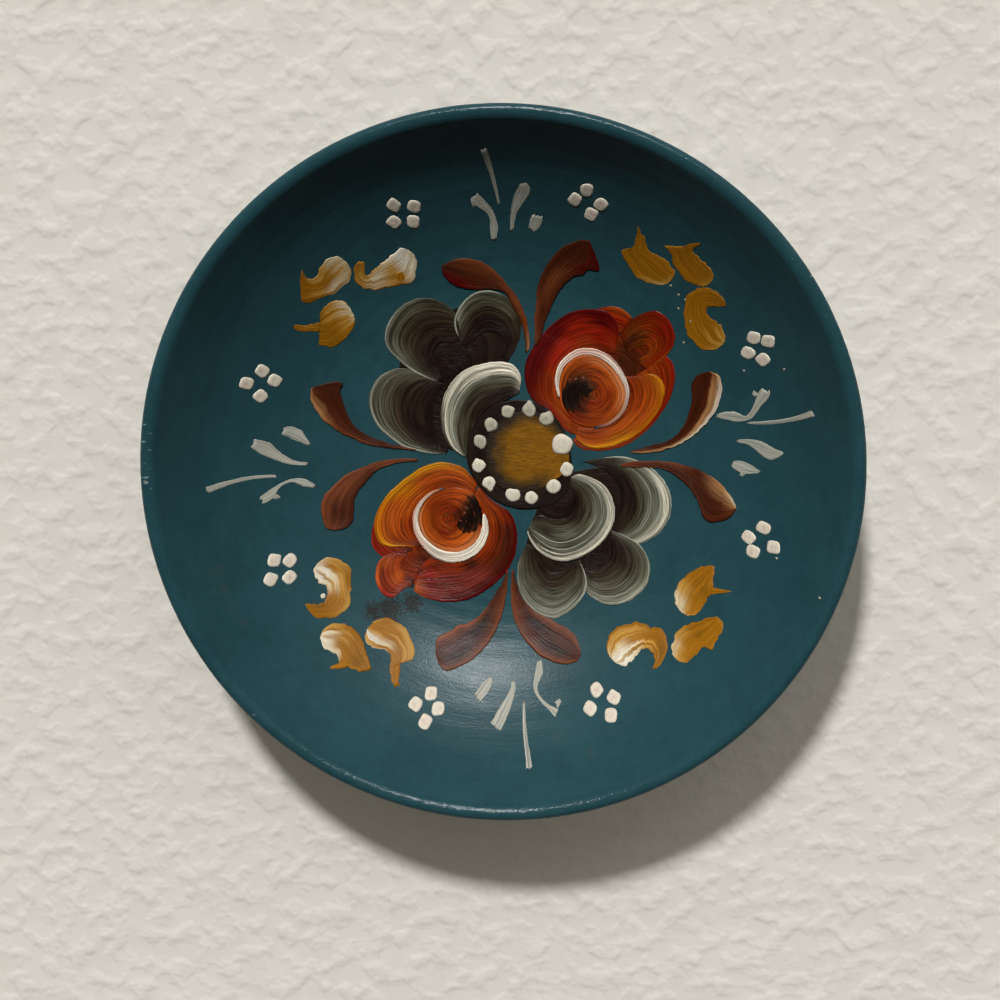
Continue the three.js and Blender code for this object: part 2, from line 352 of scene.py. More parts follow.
def turned_plate(material):
    """The plate, with soft masks on its points for worn places, painted sheen, nick marks that are
    partly painted glints, and the dull outside.
    """
    profile = plate_profile()
    inner, ends = profile[1:-1], profile[[0, -1]]
    angles = np.arange(PLATE_SEGMENTS) * 2 * np.pi / PLATE_SEGMENTS
    radii = np.repeat(inner[:, 0][:, None], PLATE_SEGMENTS, 1)
    heights = np.repeat(inner[:, 1][:, None], PLATE_SEGMENTS, 1)
    x, y = radii * np.cos(angles), radii * np.sin(angles)
    out, up = radii - LIP_CENTRE[0], heights - LIP_CENTRE[1]
    before_crest = np.arange(len(inner))[:, None] < np.argmax(inner[:, 1])
    facing = np.degrees(np.arctan2(up, out))
    outside = np.clip((GLOSS_ENDS - facing) / (GLOSS_ENDS - DULL_BEGINS), 0, 1) * before_crest
    near_lip = np.exp(-(((out**2 + up**2) / NICK_GLINT_REACH**2) ** 3))
    nick_glints = np.zeros_like(x)
    for angle, half, amount in NICK_GLINT_STRETCHES:
        off = (np.degrees(angles) - angle + 180) % 360 - 180
        nick_glints = np.maximum(nick_glints, amount * np.exp(-((off / half) ** 4)) * near_lip)
    masks = []
    for spots in WORN_AND_SHEEN:
        worn = [np.exp(-((x - cx) ** 2 + (y - cy) ** 2) / size**2) for cx, cy, size in spots]
        masks.append(np.max(worn, 0) * ~before_crest)
    masks += [nick_glints, outside]
    masks = [np.concatenate([mask.ravel(), mask[[0, -1], 0]]) for mask in masks]
    grid = np.stack([x, y, heights], -1).reshape(-1, 3)
    points = np.concatenate([grid, np.stack([ends[:, 0], 0 * ends[:, 0], ends[:, 1]], 1)])
    attributes = {"wear_and_sheen": ("FLOAT_VECTOR", np.stack(masks[:3], 1)), "nick_glints": ("FLOAT", masks[3]),
                  "outside": ("FLOAT", masks[4])}
    return mesh_object("painted_plate", points, revolved_faces(len(inner)), attributes, material)


# Brush strokes

def spots(text):
    """Places written as text, such as "12 30, 14 35.5": a comma parts one place from the next."""
    return [tuple(float(number) for number in place.split()) for place in text.split(",")]


class Line:
    """A smooth line through given places, read at shares of its length."""

    def __init__(self, points, closed=False):
        if isinstance(points, str):
            points = spots(points)
        p = [np.array(q, float) for q in points]
        if closed:
            p = [p[-2], *p, p[1]]
        else:
            p = [2 * p[0] - p[1], *p, 2 * p[-1] - p[-2]]
        t = np.linspace(0, 1, LINE_STEPS, endpoint=False)[:, None]
        runs = []
        for a, b, c, d in zip(p, p[1:], p[2:], p[3:]):
            bend = (2 * a - 5 * b + 4 * c - d) * t**2 + (3 * b - a - 3 * c + d) * t**3
            runs.append(0.5 * (2 * b + (c - a) * t + bend))
        self.dense = np.concatenate([*runs, [p[-2]]])
        steps = np.hypot(*np.diff(self.dense, axis=0).T)
        self.marks = np.concatenate([[0], np.cumsum(steps)])
        self.length = self.marks[-1]

    def at(self, share):
        place = np.clip(share, 0, 1) * self.length
        return np.stack([np.interp(place, self.marks, self.dense[:, k]) for k in (0, 1)], -1)


def blended(tones, u, v):
    """Colour from a small chart of tones, written as text: a slash parts one station along the
    stroke from the next, and the words of a station go across from side a to side b."""
    rows = [[linear(PALETTE[word]) for word in station.split()] for station in tones.split("/")]
    stations = []
    for row in rows:
        place = np.clip(v, 0, 1) * (len(row) - 1)
        i = np.minimum(place.astype(int), max(len(row) - 2, 0))
        part = place - i
        part = (part * part * (3 - 2 * part))[..., None]
        chart = np.array(row)
        stations.append(chart[i] * (1 - part) + chart[np.minimum(i + 1, len(row) - 1)] * part)
    place = np.clip(u, 0, 1) * (len(rows) - 1)
    result = np.zeros_like(stations[0])
    for k, station in enumerate(stations):
        share = np.clip(1 - np.abs(place - k), 0, 1)
        result += station * (share * share * (3 - 2 * share))[..., None]
    return result


def film_faces(tops, lows, loop, filled):
    """Faces of a closed film, from the numbers of its top points and of its fewer low points."""
    rows = len(tops) - 1
    faces = []
    for i in range(rows):
        k = (i + 1) % rows if loop else i + 1
        faces += zip(tops[i, :-1], tops[k, :-1], tops[k, 1:], tops[i, 1:])
        faces += zip(lows[i, :-1], lows[i, 1:], lows[k, 1:], lows[k, :-1])
        faces.append((tops[i, -1], tops[k, -1], lows[k, -1], lows[i, -1]))
        if not filled:
            faces.append((tops[k, 0], tops[i, 0], lows[i, 0], lows[k, 0]))
    if filled:
        faces += [tuple(tops[:rows, 0]), tuple(lows[:rows, 0][::-1])]
    if not loop:
        faces += [(*tops[0], *lows[0, ::-1]), (*tops[-1, ::-1], *lows[-1])]
    return faces


class Films:
    """Gathers the films of paint of one piece and makes its mesh."""

    def __init__(self, seed):
        self.rng = np.random.default_rng(seed)
        self.points, self.faces, self.tint, self.brush, self.cover = [], [], [], [], []
        self.count = 0

    def _add(self, points, faces, tint, brush, cover):
        self.points.append(points)
        self.faces += [tuple(self.count + i for i in face) for face in faces]
        self.tint.append(np.concatenate([tint, np.ones((len(tint), 1))], 1))
        self.brush.append(brush)
        self.cover.append(cover)
        self.count += len(points)

    def stroke(self, side_a, side_b, tones, level=0, loop=False, filled=False, thick=0.07,
               ridges=0.022, streak=0.22, wander=0.10, ragged=0.0, fade=(0.0, 0.0), pitch=0.75,
               load=1.0, uneven=0.1, dabbed=False):
        """A stroke between two sides. Its level says which strokes it lies over. A loop closes on
        itself, and a filled one round its small side a. Ridges, streak and wander are how much the
        brush's hairs show in height, in colour and in the run of the tones, and pitch is their
        spacing. Ragged is how much the ends are torn and uneven how much the sides waver, in
        millimetres. Load is how much paint covers the teal, and fade the shares of the length over
        which it runs out at each end. A dabbed stroke keeps short level marks of the brush."""
        a, b = Line(side_a, loop), Line(side_b, loop)
        length = max(a.length, b.length)
        share = np.linspace(0, 1, 33)
        width = np.hypot(*(a.at(share) - b.at(share)).T).max()
        nu, nv = max(6, round(length / STEP_ALONG)), max(4, round(width / STEP_ACROSS))
        u, v = np.meshgrid(np.linspace(0, 1, nu + 1), np.linspace(0, 1, nv + 1), indexing="ij")
        across, along = v * width, u * length
        if loop:
            along = (1 - np.cos(2 * np.pi * u)) * length / 4
        start = ragged * value_noise(self.rng, across / RAGGED_CELL, 0 * u) / length
        end = ragged * value_noise(self.rng, across / RAGGED_CELL, 0 * u) / length
        place = start + u * (1 - start - end) if ragged else u
        chord = b.at(place) - a.at(place)
        span = np.hypot(*np.moveaxis(chord, -1, 0))
        shake = [uneven * 2 * (value_noise(self.rng, along / SHAKE_CELL, 0 * u) - 0.5)
                 for side in "ab"]
        shift = (shake[0] * (1 - v) * (not filled) + shake[1] * v) * np.clip(span / 2, 0, 1)
        plan = a.at(place) + chord * (v + shift / np.maximum(span, 0.3))[..., None]
        if dabbed:
            across, along = plan[..., 1], plan[..., 0] * 9
        fine = value_noise(self.rng, across / pitch * 2.1, along / FINE_RUN)
        broad = value_noise(self.rng, across / pitch * 0.8, along / BROAD_RUN)
        grain = 0.55 * fine + 0.45 * broad
        edge = np.minimum(v, 1 - v) * span
        if filled:
            edge = (1 - v) * span
        if not loop:
            edge = np.minimum(edge, np.minimum(u, 1 - u) * length + 0.02)
        body = 1 - np.exp(-edge / EDGE_ROUNDING)
        relief = ridges * 2 * (grain - 0.5) * np.clip(edge / RIDGE_EDGE, 0, 1)
        lift = level * LEVEL_STEP + thick * body + relief
        tint = blended(tones, u, v + wander * 2 * (broad - 0.5) * np.clip(width / 6, 0.3, 1))
        tint = np.clip(tint * (1 + streak * 2 * (grain - 0.5))[..., None], 0, 1)
        cover = load * np.ones_like(u)
        if fade[0]:
            cover = np.minimum(cover, load * u / fade[0])
        if fade[1]:
            cover = np.minimum(cover, load * (1 - u) / fade[1])
        top = laid(plan[..., 0], plan[..., 1], lift)
        nb = max(1, round(width / UNDER_STEP))
        columns = np.round(np.linspace(0, nv, nb + 1)).astype(int)
        under = laid(plan[:, columns, 0], plan[:, columns, 1], -FILM_DEPTH)
        brush = np.stack([across, along, 0 * u + self.count % BRUSH_CYCLE], -1)
        tops = np.arange((nu + 1) * (nv + 1)).reshape(nu + 1, nv + 1)
        lows = tops.size + np.arange((nu + 1) * (nb + 1)).reshape(nu + 1, nb + 1)
        faces = film_faces(tops, lows, loop, filled)
        fields = [np.concatenate([top.reshape(-1, 3), under.reshape(-1, 3)])]
        for field in (tint, brush, cover[..., None]):
            size = field.shape[-1]
            low = field[:, columns].reshape(-1, size)
            fields.append(np.concatenate([field.reshape(-1, size), low]))
        if loop:
            keep = np.ones(len(fields[0]), bool)
            keep[tops[-1]] = keep[lows[-1]] = False
            renumber = np.cumsum(keep) - 1
            faces = [tuple(renumber[list(face)]) for face in faces]
            fields = [field[keep] for field in fields]
        points, tint, brush, cover = fields
        self._add(points, faces, tint, brush, cover[:, 0])

    def line(self, path, widths, tones, **options):
        """A stroke along a path, with its width at each point."""
        middle = Line(path)
        count = len(widths)
        shares = np.linspace(0, 1, count * 2 - 1)
        marks = [middle.marks[min(LINE_STEPS * k, len(middle.marks) - 1)] / middle.length
                 for k in range(count)]
        places = middle.at(shares)
        ahead = middle.at(shares + 0.01) - middle.at(shares - 0.01)
        side = np.stack([-ahead[:, 1], ahead[:, 0]], 1) / np.hypot(*ahead.T)[:, None]
        half = np.interp(shares, marks, widths)[:, None] / 2
        self.stroke(places + side * half, places - side * half, tones, **options)

    def rib(self, side_a, side_b, share, width, tone, level, start=0.0, end=1.0):
        """A thin line of paint that runs between two sides, at a share of the way across."""
        a, b = Line(side_a), Line(side_b)
        along = np.linspace(start, end, 15)
        path = a.at(along) * (1 - share) + b.at(along) * share
        widths = width * np.clip(np.minimum(along - start, end - along) / (end - start) * 6 + 0.2, 0, 1)
        self.line(path, widths, tone, level=level, thick=0.05, ridges=0.01, load=0.8)

    def dab(self, x, y, radius, height, tone, level=2, point=None, uneven=0.10, square=0.0):
        """A thick dab of paint with an uneven outline, drawn out to a point at an angle where one
        is given, and with flattened sides where it is to look square. A tone's second word is the
        colour of its middle."""
        turn = np.arange(DAB_SIDES) * 2 * np.pi / DAB_SIDES
        wobble = np.ones(DAB_SIDES)
        for k in (2, 3, 4, 5):
            size = uneven / k * math.sin(self.rng.random() * 7)
            wobble = wobble + size * np.sin(k * turn + 7 * self.rng.random())
        lean = turn + 0.9 * self.rng.random()
        corners = (np.abs(np.cos(lean)) ** 4 + np.abs(np.sin(lean)) ** 4) ** -0.25
        wobble = wobble * (1 - square + square * corners)
        if point is not None:
            off = np.angle(np.exp(1j * (turn - math.radians(point))))
            wobble = wobble + TIP_REACH * np.exp(-((off / 0.34) ** 2))
        share = np.linspace(0, 1, DAB_RINGS + 1)[1:, None]
        reach = radius * wobble[None, :] * share
        px, py = x + reach * np.cos(turn), y + reach * np.sin(turn)
        dent = 0.16 * value_noise(self.rng, px / DAB_LUMP, py / DAB_LUMP)
        dome = np.sqrt(np.clip(1 - share**3.2, 0, 1)) - dent * (1 - share)
        lift = level * LEVEL_STEP + height * dome
        top = laid(px, py, lift).reshape(-1, 3)
        crown = laid(np.array([x]), np.array([y]), np.array([level * LEVEL_STEP + 0.9 * height]))
        base = laid(px[-1], py[-1], -FILM_DEPTH)
        points = np.concatenate([crown, top, base])
        rings = 1 + np.arange((DAB_RINGS + 1) * DAB_SIDES).reshape(-1, DAB_SIDES)
        ahead = np.roll(rings, -1, 1)
        faces = [(0, p, q) for p, q in zip(rings[0], ahead[0])]
        for k in range(DAB_RINGS):
            faces += zip(rings[k], rings[k + 1], ahead[k + 1], ahead[k])
        faces.append(tuple(rings[-1][::-1]))
        rim, middle = [linear(PALETTE[word]) for word in (tone.split() * 2)[:2]]
        patch = value_noise(self.rng, points[:, 0] / DAB_PATCH, points[:, 1] / DAB_PATCH)
        away = np.hypot(points[:, 0] - x, points[:, 1] - y) / radius
        inner = 0.6 * np.clip(1.6 - 2.2 * away, 0, 1) * patch
        tint = rim + (middle - rim) * inner[:, None]
        tint = tint * (0.94 + 0.1 * self.rng.random((len(points), 1)))
        brush = points + self.rng.random() * 40
        self._add(points, faces, tint, brush, np.ones(len(points)))

    def piece(self, name, slot, material):
        attributes = {
            "tint": ("FLOAT_COLOR", np.concatenate(self.tint)),
            "brush": ("FLOAT_VECTOR", np.concatenate(self.brush)),
            "cover": ("FLOAT", np.concatenate(self.cover)),
        }
        made = mesh_object(name, np.concatenate(self.points), self.faces, attributes, material)
        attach(made, "plate")
        return made


def ring_of(x, y, radius, count=12, start=180):
    """A closed ring of points round a place, clockwise from the angle start."""
    turn = np.radians(start - np.arange(count + 1) * 360 / count)
    return [(x + radius * math.cos(t), y + radius * math.sin(t)) for t in turn]


# Materials

class Shader:
    """A material's node tree, with short calls for the nodes that the materials share."""

    def __init__(self, name):
        self.material = bpy.data.materials.new(name)
        self.material.use_nodes = True
        self.tree = self.material.node_tree
        self.tree.nodes.clear()
        self.surface = self.node("ShaderNodeBsdfPrincipled")
        self.output = self.node("ShaderNodeOutputMaterial")
        self.join(self.surface.outputs[0], self.output.inputs[0])
        self.place = self.node("ShaderNodeTexCoord").outputs["Object"]

    def node(self, kind, *values, **settings):
        """A node with these settings, its first inputs fed with these values."""
        made = self.tree.nodes.new(kind)
        for key, value in settings.items():
            setattr(made, key, value)
        for socket, value in zip(made.inputs, values):
            self.feed(socket, value)
        return made

    def join(self, source, target):
        self.tree.links.new(source, target)

    def feed(self, socket, value):
        """Joins an output to a socket, or sets the socket to a plain value or colour."""
        if isinstance(value, bpy.types.NodeSocket):
            self.join(value, socket)
        elif socket.type == "RGBA":
            socket.default_value = (*value, 1.0)
        else:
            socket.default_value = value

    def maths(self, operation, *values):
        return self.node("ShaderNodeMath", *values, operation=operation).outputs[0]

    def plus(self, first, second):
        return self.maths("ADD", first, second)

    def times(self, first, second):
        return self.maths("MULTIPLY", first, second)

    def parts(self, vector):
        """The x, y and z of a vector."""
        return self.node("ShaderNodeSeparateXYZ", vector).outputs

    def noise(self, scale, detail=3.0, rough=0.55, vector=None):
        made = self.node("ShaderNodeTexNoise")
        made.inputs["Scale"].default_value = scale
        made.inputs["Detail"].default_value = detail
        made.inputs["Roughness"].default_value = rough
        self.join(vector or self.place, made.inputs["Vector"])
        return made.outputs["Fac"]

    def scaled(self, vector, by):
        return self.node("ShaderNodeVectorMath", vector, by, operation="MULTIPLY").outputs[0]

    def fit(self, value, low, high, first=0.0, last=1.0, smooth=False):
        """Maps a value's range low to high onto first to last."""
        kind = "SMOOTHSTEP" if smooth else "LINEAR"
        return self.node("ShaderNodeMapRange", value, low, high, first, last,
                         interpolation_type=kind).outputs[0]

    def mix(self, share, first, second, blend="MIX"):
        made = self.node("ShaderNodeMix", share, data_type="RGBA", blend_type=blend)
        inputs = [socket for socket in made.inputs if socket.type == "RGBA"]
        for socket, value in zip(inputs, (first, second)):
            self.feed(socket, value)
        return [socket for socket in made.outputs if socket.type == "RGBA"][0]

    def attribute(self, name, output="Fac"):
        return self.node("ShaderNodeAttribute", attribute_name=name).outputs[output]

    def bump(self, height, strength, distance, normal=None):
        made = self.node("ShaderNodeBump")
        made.inputs["Strength"].default_value = strength
        made.inputs["Distance"].default_value = distance
        self.join(height, made.inputs["Height"])
        if normal is not None:
            self.join(normal, made.inputs["Normal"])
        return made.outputs[0]

    def finish(self, colour, roughness, normal, **fixed):
        self.join(colour, self.surface.inputs["Base Color"])
        self.feed(self.surface.inputs["Roughness"], roughness)
        self.join(normal, self.surface.inputs["Normal"])
        for key, value in fixed.items():
            self.surface.inputs[key].default_value = value
        return self.material


TEAL = linear(PALETTE["teal"])
PAINT_GLOSS = {"IOR": 1.45, "Specular IOR Level": 0.2}

# Linear colours of what has settled on the teal or shows through it, of the painted sheen low in
# the dish, and of pale nick marks that are partly painted glints
SMUDGE = (0.016, 0.012, 0.007)
SCUFF = (0.062, 0.058, 0.044)
PAINTED_SHEEN = (0.12, 0.17, 0.18)
NICK_GLINT_COLOUR = (0.2, 0.26, 0.25)
DUST = (0.14, 0.17, 0.17)


def teal_layer(s):
    """Teal paint over turned wood: its colour and the height of its turning marks, which run
    round the plate because the noise is read at the radius and only slowly round the axis."""
    x, y, _ = s.parts(s.place)
    r = s.maths("SQRT", s.plus(s.times(x, x), s.times(y, y)))
    safe = s.maths("MAXIMUM", r, 0.0005)
    around = [s.times(s.maths("DIVIDE", side, safe), 6.0) for side in (x, y)]
    turned = s.node("ShaderNodeCombineXYZ", s.times(r, 1000.0), *around)
    marks = s.noise(1.5, 2.0, 0.6, turned.outputs[0])
    mottle, cloud = s.noise(70.0, 4.0, 0.6), s.noise(420.0, 3.0, 0.6)
    shade = s.plus(s.times(mottle, 0.6), s.times(cloud, 0.4))
    colour = s.mix(s.fit(shade, 0.35, 0.65), TEAL * (0.86, 0.86, 0.88), TEAL * (1.14, 1.12, 1.1))
    colour = s.mix(s.fit(marks, 0.62, 0.8, 0, 0.25), colour, TEAL * (0.7, 0.72, 0.74))
    return colour, marks


def plate_paint():
    """Satin teal, glossier on the lip and dull outside, with smudges, scuffs and dust, lighter patches
    of painted sheen low in the dish, and pale nick marks that are partly painted glints.
    """
    s = Shader("painted_wood")
    colour, marks = teal_layer(s)
    on_lip = s.fit(s.parts(s.place)[2], (PLATE_HEIGHT - 2.4) * MM, (PLATE_HEIGHT - 1) * MM)
    smudged, scuffed, sheen_patches = s.parts(s.attribute("wear_and_sheen", "Vector"))
    crumbs = s.noise(1100.0, 5.0, 0.7)
    spotted = s.noise(520.0, 5.0, 0.65)
    scratch_glints = s.noise(1.0, 1.0, 0.5, s.scaled(s.place, (380.0, 1300.0, 380.0)))
    smudge = s.fit(s.plus(s.times(smudged, 0.36), crumbs), 0.64, 0.77, 0, 0.85)
    scuff = s.fit(s.plus(s.times(scuffed, 0.34), crumbs), 0.72, 0.92, 0, 0.45)
    # Lighter patches low in the dish, where its sheen falls: painted sheen
    sheen_share = s.fit(s.plus(s.times(sheen_patches, 0.35), spotted), 0.7, 1.0, 0, 0.12)
    # Pale nick marks on the lip, partly painted glints
    glint_nick = s.fit(s.plus(scratch_glints, s.times(s.attribute("nick_glints"), 0.2)), 0.83, 0.89, 0, 0.85)
    dust = s.fit(s.noise(2600.0, 2.0, 0.5), 0.74, 0.8, 0, 0.35)
    layers = ((smudge, SMUDGE), (scuff, SCUFF), (sheen_share, PAINTED_SHEEN), (glint_nick, NICK_GLINT_COLOUR), (dust, DUST))
    for share, layer in layers:
        colour = s.mix(share, colour, layer)
    knobs = s.times(s.maths("SUBTRACT", s.noise(1000.0, 3.0, 0.6), 0.5), on_lip)
    normal = s.bump(s.noise(1700.0, 3.0, 0.6), 0.16, 0.00035)
    normal = s.bump(knobs, 0.5, 0.0003, normal)
    normal = s.bump(marks, 0.45, 0.00012, normal)
    uneven = s.times(s.plus(marks, s.noise(180.0, 4.0, 0.6)), 0.5)
    rough = s.maths("SUBTRACT", s.fit(uneven, 0.3, 0.7, 0.27, 0.36), s.times(on_lip, 0.15))
    rough = s.plus(rough, s.times(s.attribute("outside"), 0.4))
    return s.finish(colour, rough, normal, **PAINT_GLOSS)


def oil_paint(name, bristle, gloss):
    """Brushed oil paint: each stroke's own tint, combed by bristles along the stroke, and thin
    enough towards a faded end to let the teal through between the bristles. Bristle is how much
    their marks change the tint, and gloss the least and the most roughness."""
    s = Shader(name)
    brush = s.attribute("brush", "Vector")
    combed = s.noise(1.0, 2.5, 0.62, s.scaled(brush, (2.5, 0.06, 1.7)))
    patchy = s.noise(1.0, 3.0, 0.6, s.scaled(brush, (0.9, 0.3, 1.7)))
    teal, marks = teal_layer(s)
    value = s.fit(combed, 0.39, 0.61, 1 - bristle, 1 + bristle)
    grey = s.node("ShaderNodeCombineXYZ", value, value, value).outputs[0]
    paint = s.mix(1.0, s.attribute("tint", "Color"), grey, "MULTIPLY")
    covered = s.fit(s.plus(s.attribute("cover"), s.times(combed, 0.9)), 0.55, 0.85)
    rough = s.fit(s.plus(combed, s.times(patchy, 0.6)), 0.5, 1.1, *gloss)
    normal = s.bump(s.noise(2400.0, 2.0, 0.6), 0.08, 0.0003)
    normal = s.bump(marks, 0.35, 0.0002, normal)
    normal = s.bump(combed, 0.6, 0.0002, normal)
    return s.finish(s.mix(covered, teal, paint), rough, normal, **PAINT_GLOSS)


def brass(name, colour, dull, grain_scale):
    """Old brass: a drawn grain, and brown tarnish in patches."""
    s = Shader(name)
    patches = s.noise(260.0, 5.0, 0.6)
    grain = s.noise(1.0, 3.0, 0.6, s.scaled(s.place, grain_scale))
    base = s.mix(s.fit(grain, 0.3, 0.7), [0.82 * c for c in colour], colour)
    base = s.mix(s.fit(patches, 0.45, 0.68, 0, 0.75), base, dull)
    rough = s.fit(s.plus(patches, s.times(grain, 0.5)), 0.5, 1.0, 0.28, 0.58)
    normal = s.bump(s.noise(3200.0, 3.0, 0.6), 0.18, 0.00008)
    normal = s.bump(grain, 0.25, 0.00006, normal)
    return s.finish(base, rough, normal, Metallic=0.94)


def wall_material():
    """Pale matt plaster. From underneath it can be seen through and lets light pass, so that the
    foot and the hanger show in views from below. Its raised edge, which stands for the dim room,
    is painted in shade that deepens with height, and throws no light into the dish. It also
    glows a little, warm, as painted light that lifts it even in shadow, less so on the raised edge."""
    s = Shader("pale_plaster")
    wall = linear(WALL)
    broad, lumps, grit = s.noise(65.0, 2.0, 0.4), s.noise(160.0, 2.0, 0.4), s.noise(700.0, 2.0, 0.5)
    plaster = s.plus(s.times(broad, 2.2), s.fit(lumps, 0.4, 0.72, 0, 1.1, smooth=True))
    normal = s.bump(s.plus(plaster, s.times(grit, 0.07)), 0.4, 0.0009)
    path = s.node("ShaderNodeLightPath").outputs
    height = s.parts(s.place)[2]
    shade = s.plus(s.times(broad, 0.6), s.times(lumps, 0.4))
    colour = s.mix(s.fit(shade, 0.35, 0.65), wall * 0.935, wall * (0.95, 0.955, 0.965))
    colour = s.mix(s.fit(height, DIM_FROM, DIM_TO, 0, 0.85), colour, wall * 0.12)
    raised = s.times(s.fit(height, 0.01, 0.2), path["Is Diffuse Ray"])
    colour = s.mix(raised, colour, (0.02, 0.02, 0.02))
    seen = s.maths("MAXIMUM", path["Is Camera Ray"], path["Is Glossy Ray"])
    seen = s.maths("MAXIMUM", seen, path["Is Transmission Ray"])
    glow = s.fit(height, DIM_FROM, DIM_TO, WALL_GLOW, WALL_GLOW * 0.3)
    s.join(s.times(seen, glow), s.surface.inputs["Emission Strength"])
    s.surface.inputs["Emission Color"].default_value = (*(wall * (1.1, 0.98, 0.8)), 1.0)
    below = s.node("ShaderNodeNewGeometry").outputs["Backfacing"]
    through = s.maths("MAXIMUM", s.times(below, path["Is Camera Ray"]), path["Is Shadow Ray"])
    clear = s.node("ShaderNodeBsdfTransparent").outputs[0]
    blend = s.node("ShaderNodeMixShader", through, s.surface.outputs[0], clear)
    s.join(blend.outputs[0], s.output.inputs[0])
    return s.finish(colour, 0.9, normal, **{"Specular IOR Level": 0.1})


def backdrop(material):
    """A pale floor that curves up far away, so that no view at or above its level has an edge. It
    lies a hair below the plate's foot, so that the two faces don't share a plane."""
    flat, curve, height, sides = 4.0, 1.0, 1.5, 96
    bend = np.radians(np.linspace(0, 75, 16))
    profile = [(flat * k / 6, 0) for k in range(1, 7)]
    profile += [(flat + curve * math.sin(t), curve * (1 - math.cos(t))) for t in bend[1:]]
    profile.append((profile[-1][0] + 0.25, height))
    turn = np.arange(sides) * 2 * np.pi / sides
    points = [(0, 0, 0)] + [(r * math.cos(t), r * math.sin(t), z) for r, z in profile for t in turn]
    faces = [(0, 1 + j, 1 + (j + 1) % sides) for j in range(sides)]
    for i in range(len(profile) - 1):
        for j in range(sides):
            k = (j + 1) % sides
            low, high = 1 + i * sides, 1 + (i + 1) * sides
            faces.append((low + j, high + j, high + k, low + k))
    mesh = bpy.data.meshes.new("backdrop")
    mesh.from_pydata(points, [], faces)
    mesh.polygons.foreach_set("use_smooth", [True] * len(faces))
    mesh.materials.append(material)
    floor = bpy.data.objects.new("backdrop", mesh)
    floor.location.z = -FLOOR_GAP * MM
    bpy.context.scene.collection.objects.link(floor)


def lamp(name, origin, share, angle, matt, gloss):
    """A distant lamp. The sheen in the dish is one lamp, seen mirrored alone, and the lamp from
    below is for views of the back."""
    direction = Vector(origin).normalized()
    light = bpy.data.lights.new(name, "SUN")
    light.energy = math.pi * share / abs(direction.z)
    light.angle = math.radians(angle)
    sun = bpy.data.objects.new(name, light)
    sun.rotation_mode = "QUATERNION"
    sun.rotation_quaternion = direction.to_track_quat("Z", "Y")
    sun.visible_diffuse = matt
    sun.visible_glossy = gloss
    bpy.context.scene.collection.objects.link(sun)


def world():
    """The dim light of the room, from all round."""
    room = bpy.data.worlds.new("room")
    room.use_nodes = True
    ground = room.node_tree.nodes["Background"]
    ground.inputs["Color"].default_value = WORLD_COLOUR
    ground.inputs["Strength"].default_value = WORLD_LEVEL
    bpy.context.scene.world = room


def camera():
    """The photograph's camera, level, with its lens shifted a little downwards."""
    data = bpy.data.cameras.new("camera")
    data.lens = CAMERA_LENS
    data.sensor_width = CAMERA_SENSOR
    data.shift_y = CAMERA_SHIFT_Y
    data.clip_start = 0.01
    eye = bpy.data.objects.new("camera", data)
    back = (CAMERA_PLACE - CAMERA_TARGET).normalized()
    right = Vector((0, 1, 0)).cross(back).normalized()
    turn = Matrix((right, back.cross(right), back)).transposed()
    eye.matrix_world = Matrix.Translation(CAMERA_PLACE) @ turn.to_4x4()
    bpy.context.scene.collection.objects.link(eye)
    bpy.context.scene.camera = eye


# The ornament. Places are in millimetres on the dish, as it is looked at from the front

def shadow(films, x, y, arcs):
    """Dark ragged marks of a brush turned round a place. Each arc is a radius and two angles."""
    for radius, first, last in spots(arcs):
        turn = np.radians(np.linspace(first, last, 9))
        path = np.stack([x + radius * np.cos(turn), y + radius * np.sin(turn)], 1)
        films.line(path, [0.9, 1.4, 1.5, 1.5, 1.5, 1.5, 1.5, 1.4, 0.9],
                   "sienna / umber / soot / soot / soot / umber / cocoa",
                   level=8, ragged=1.0, uneven=0.3, ridges=0.03, streak=0.3)


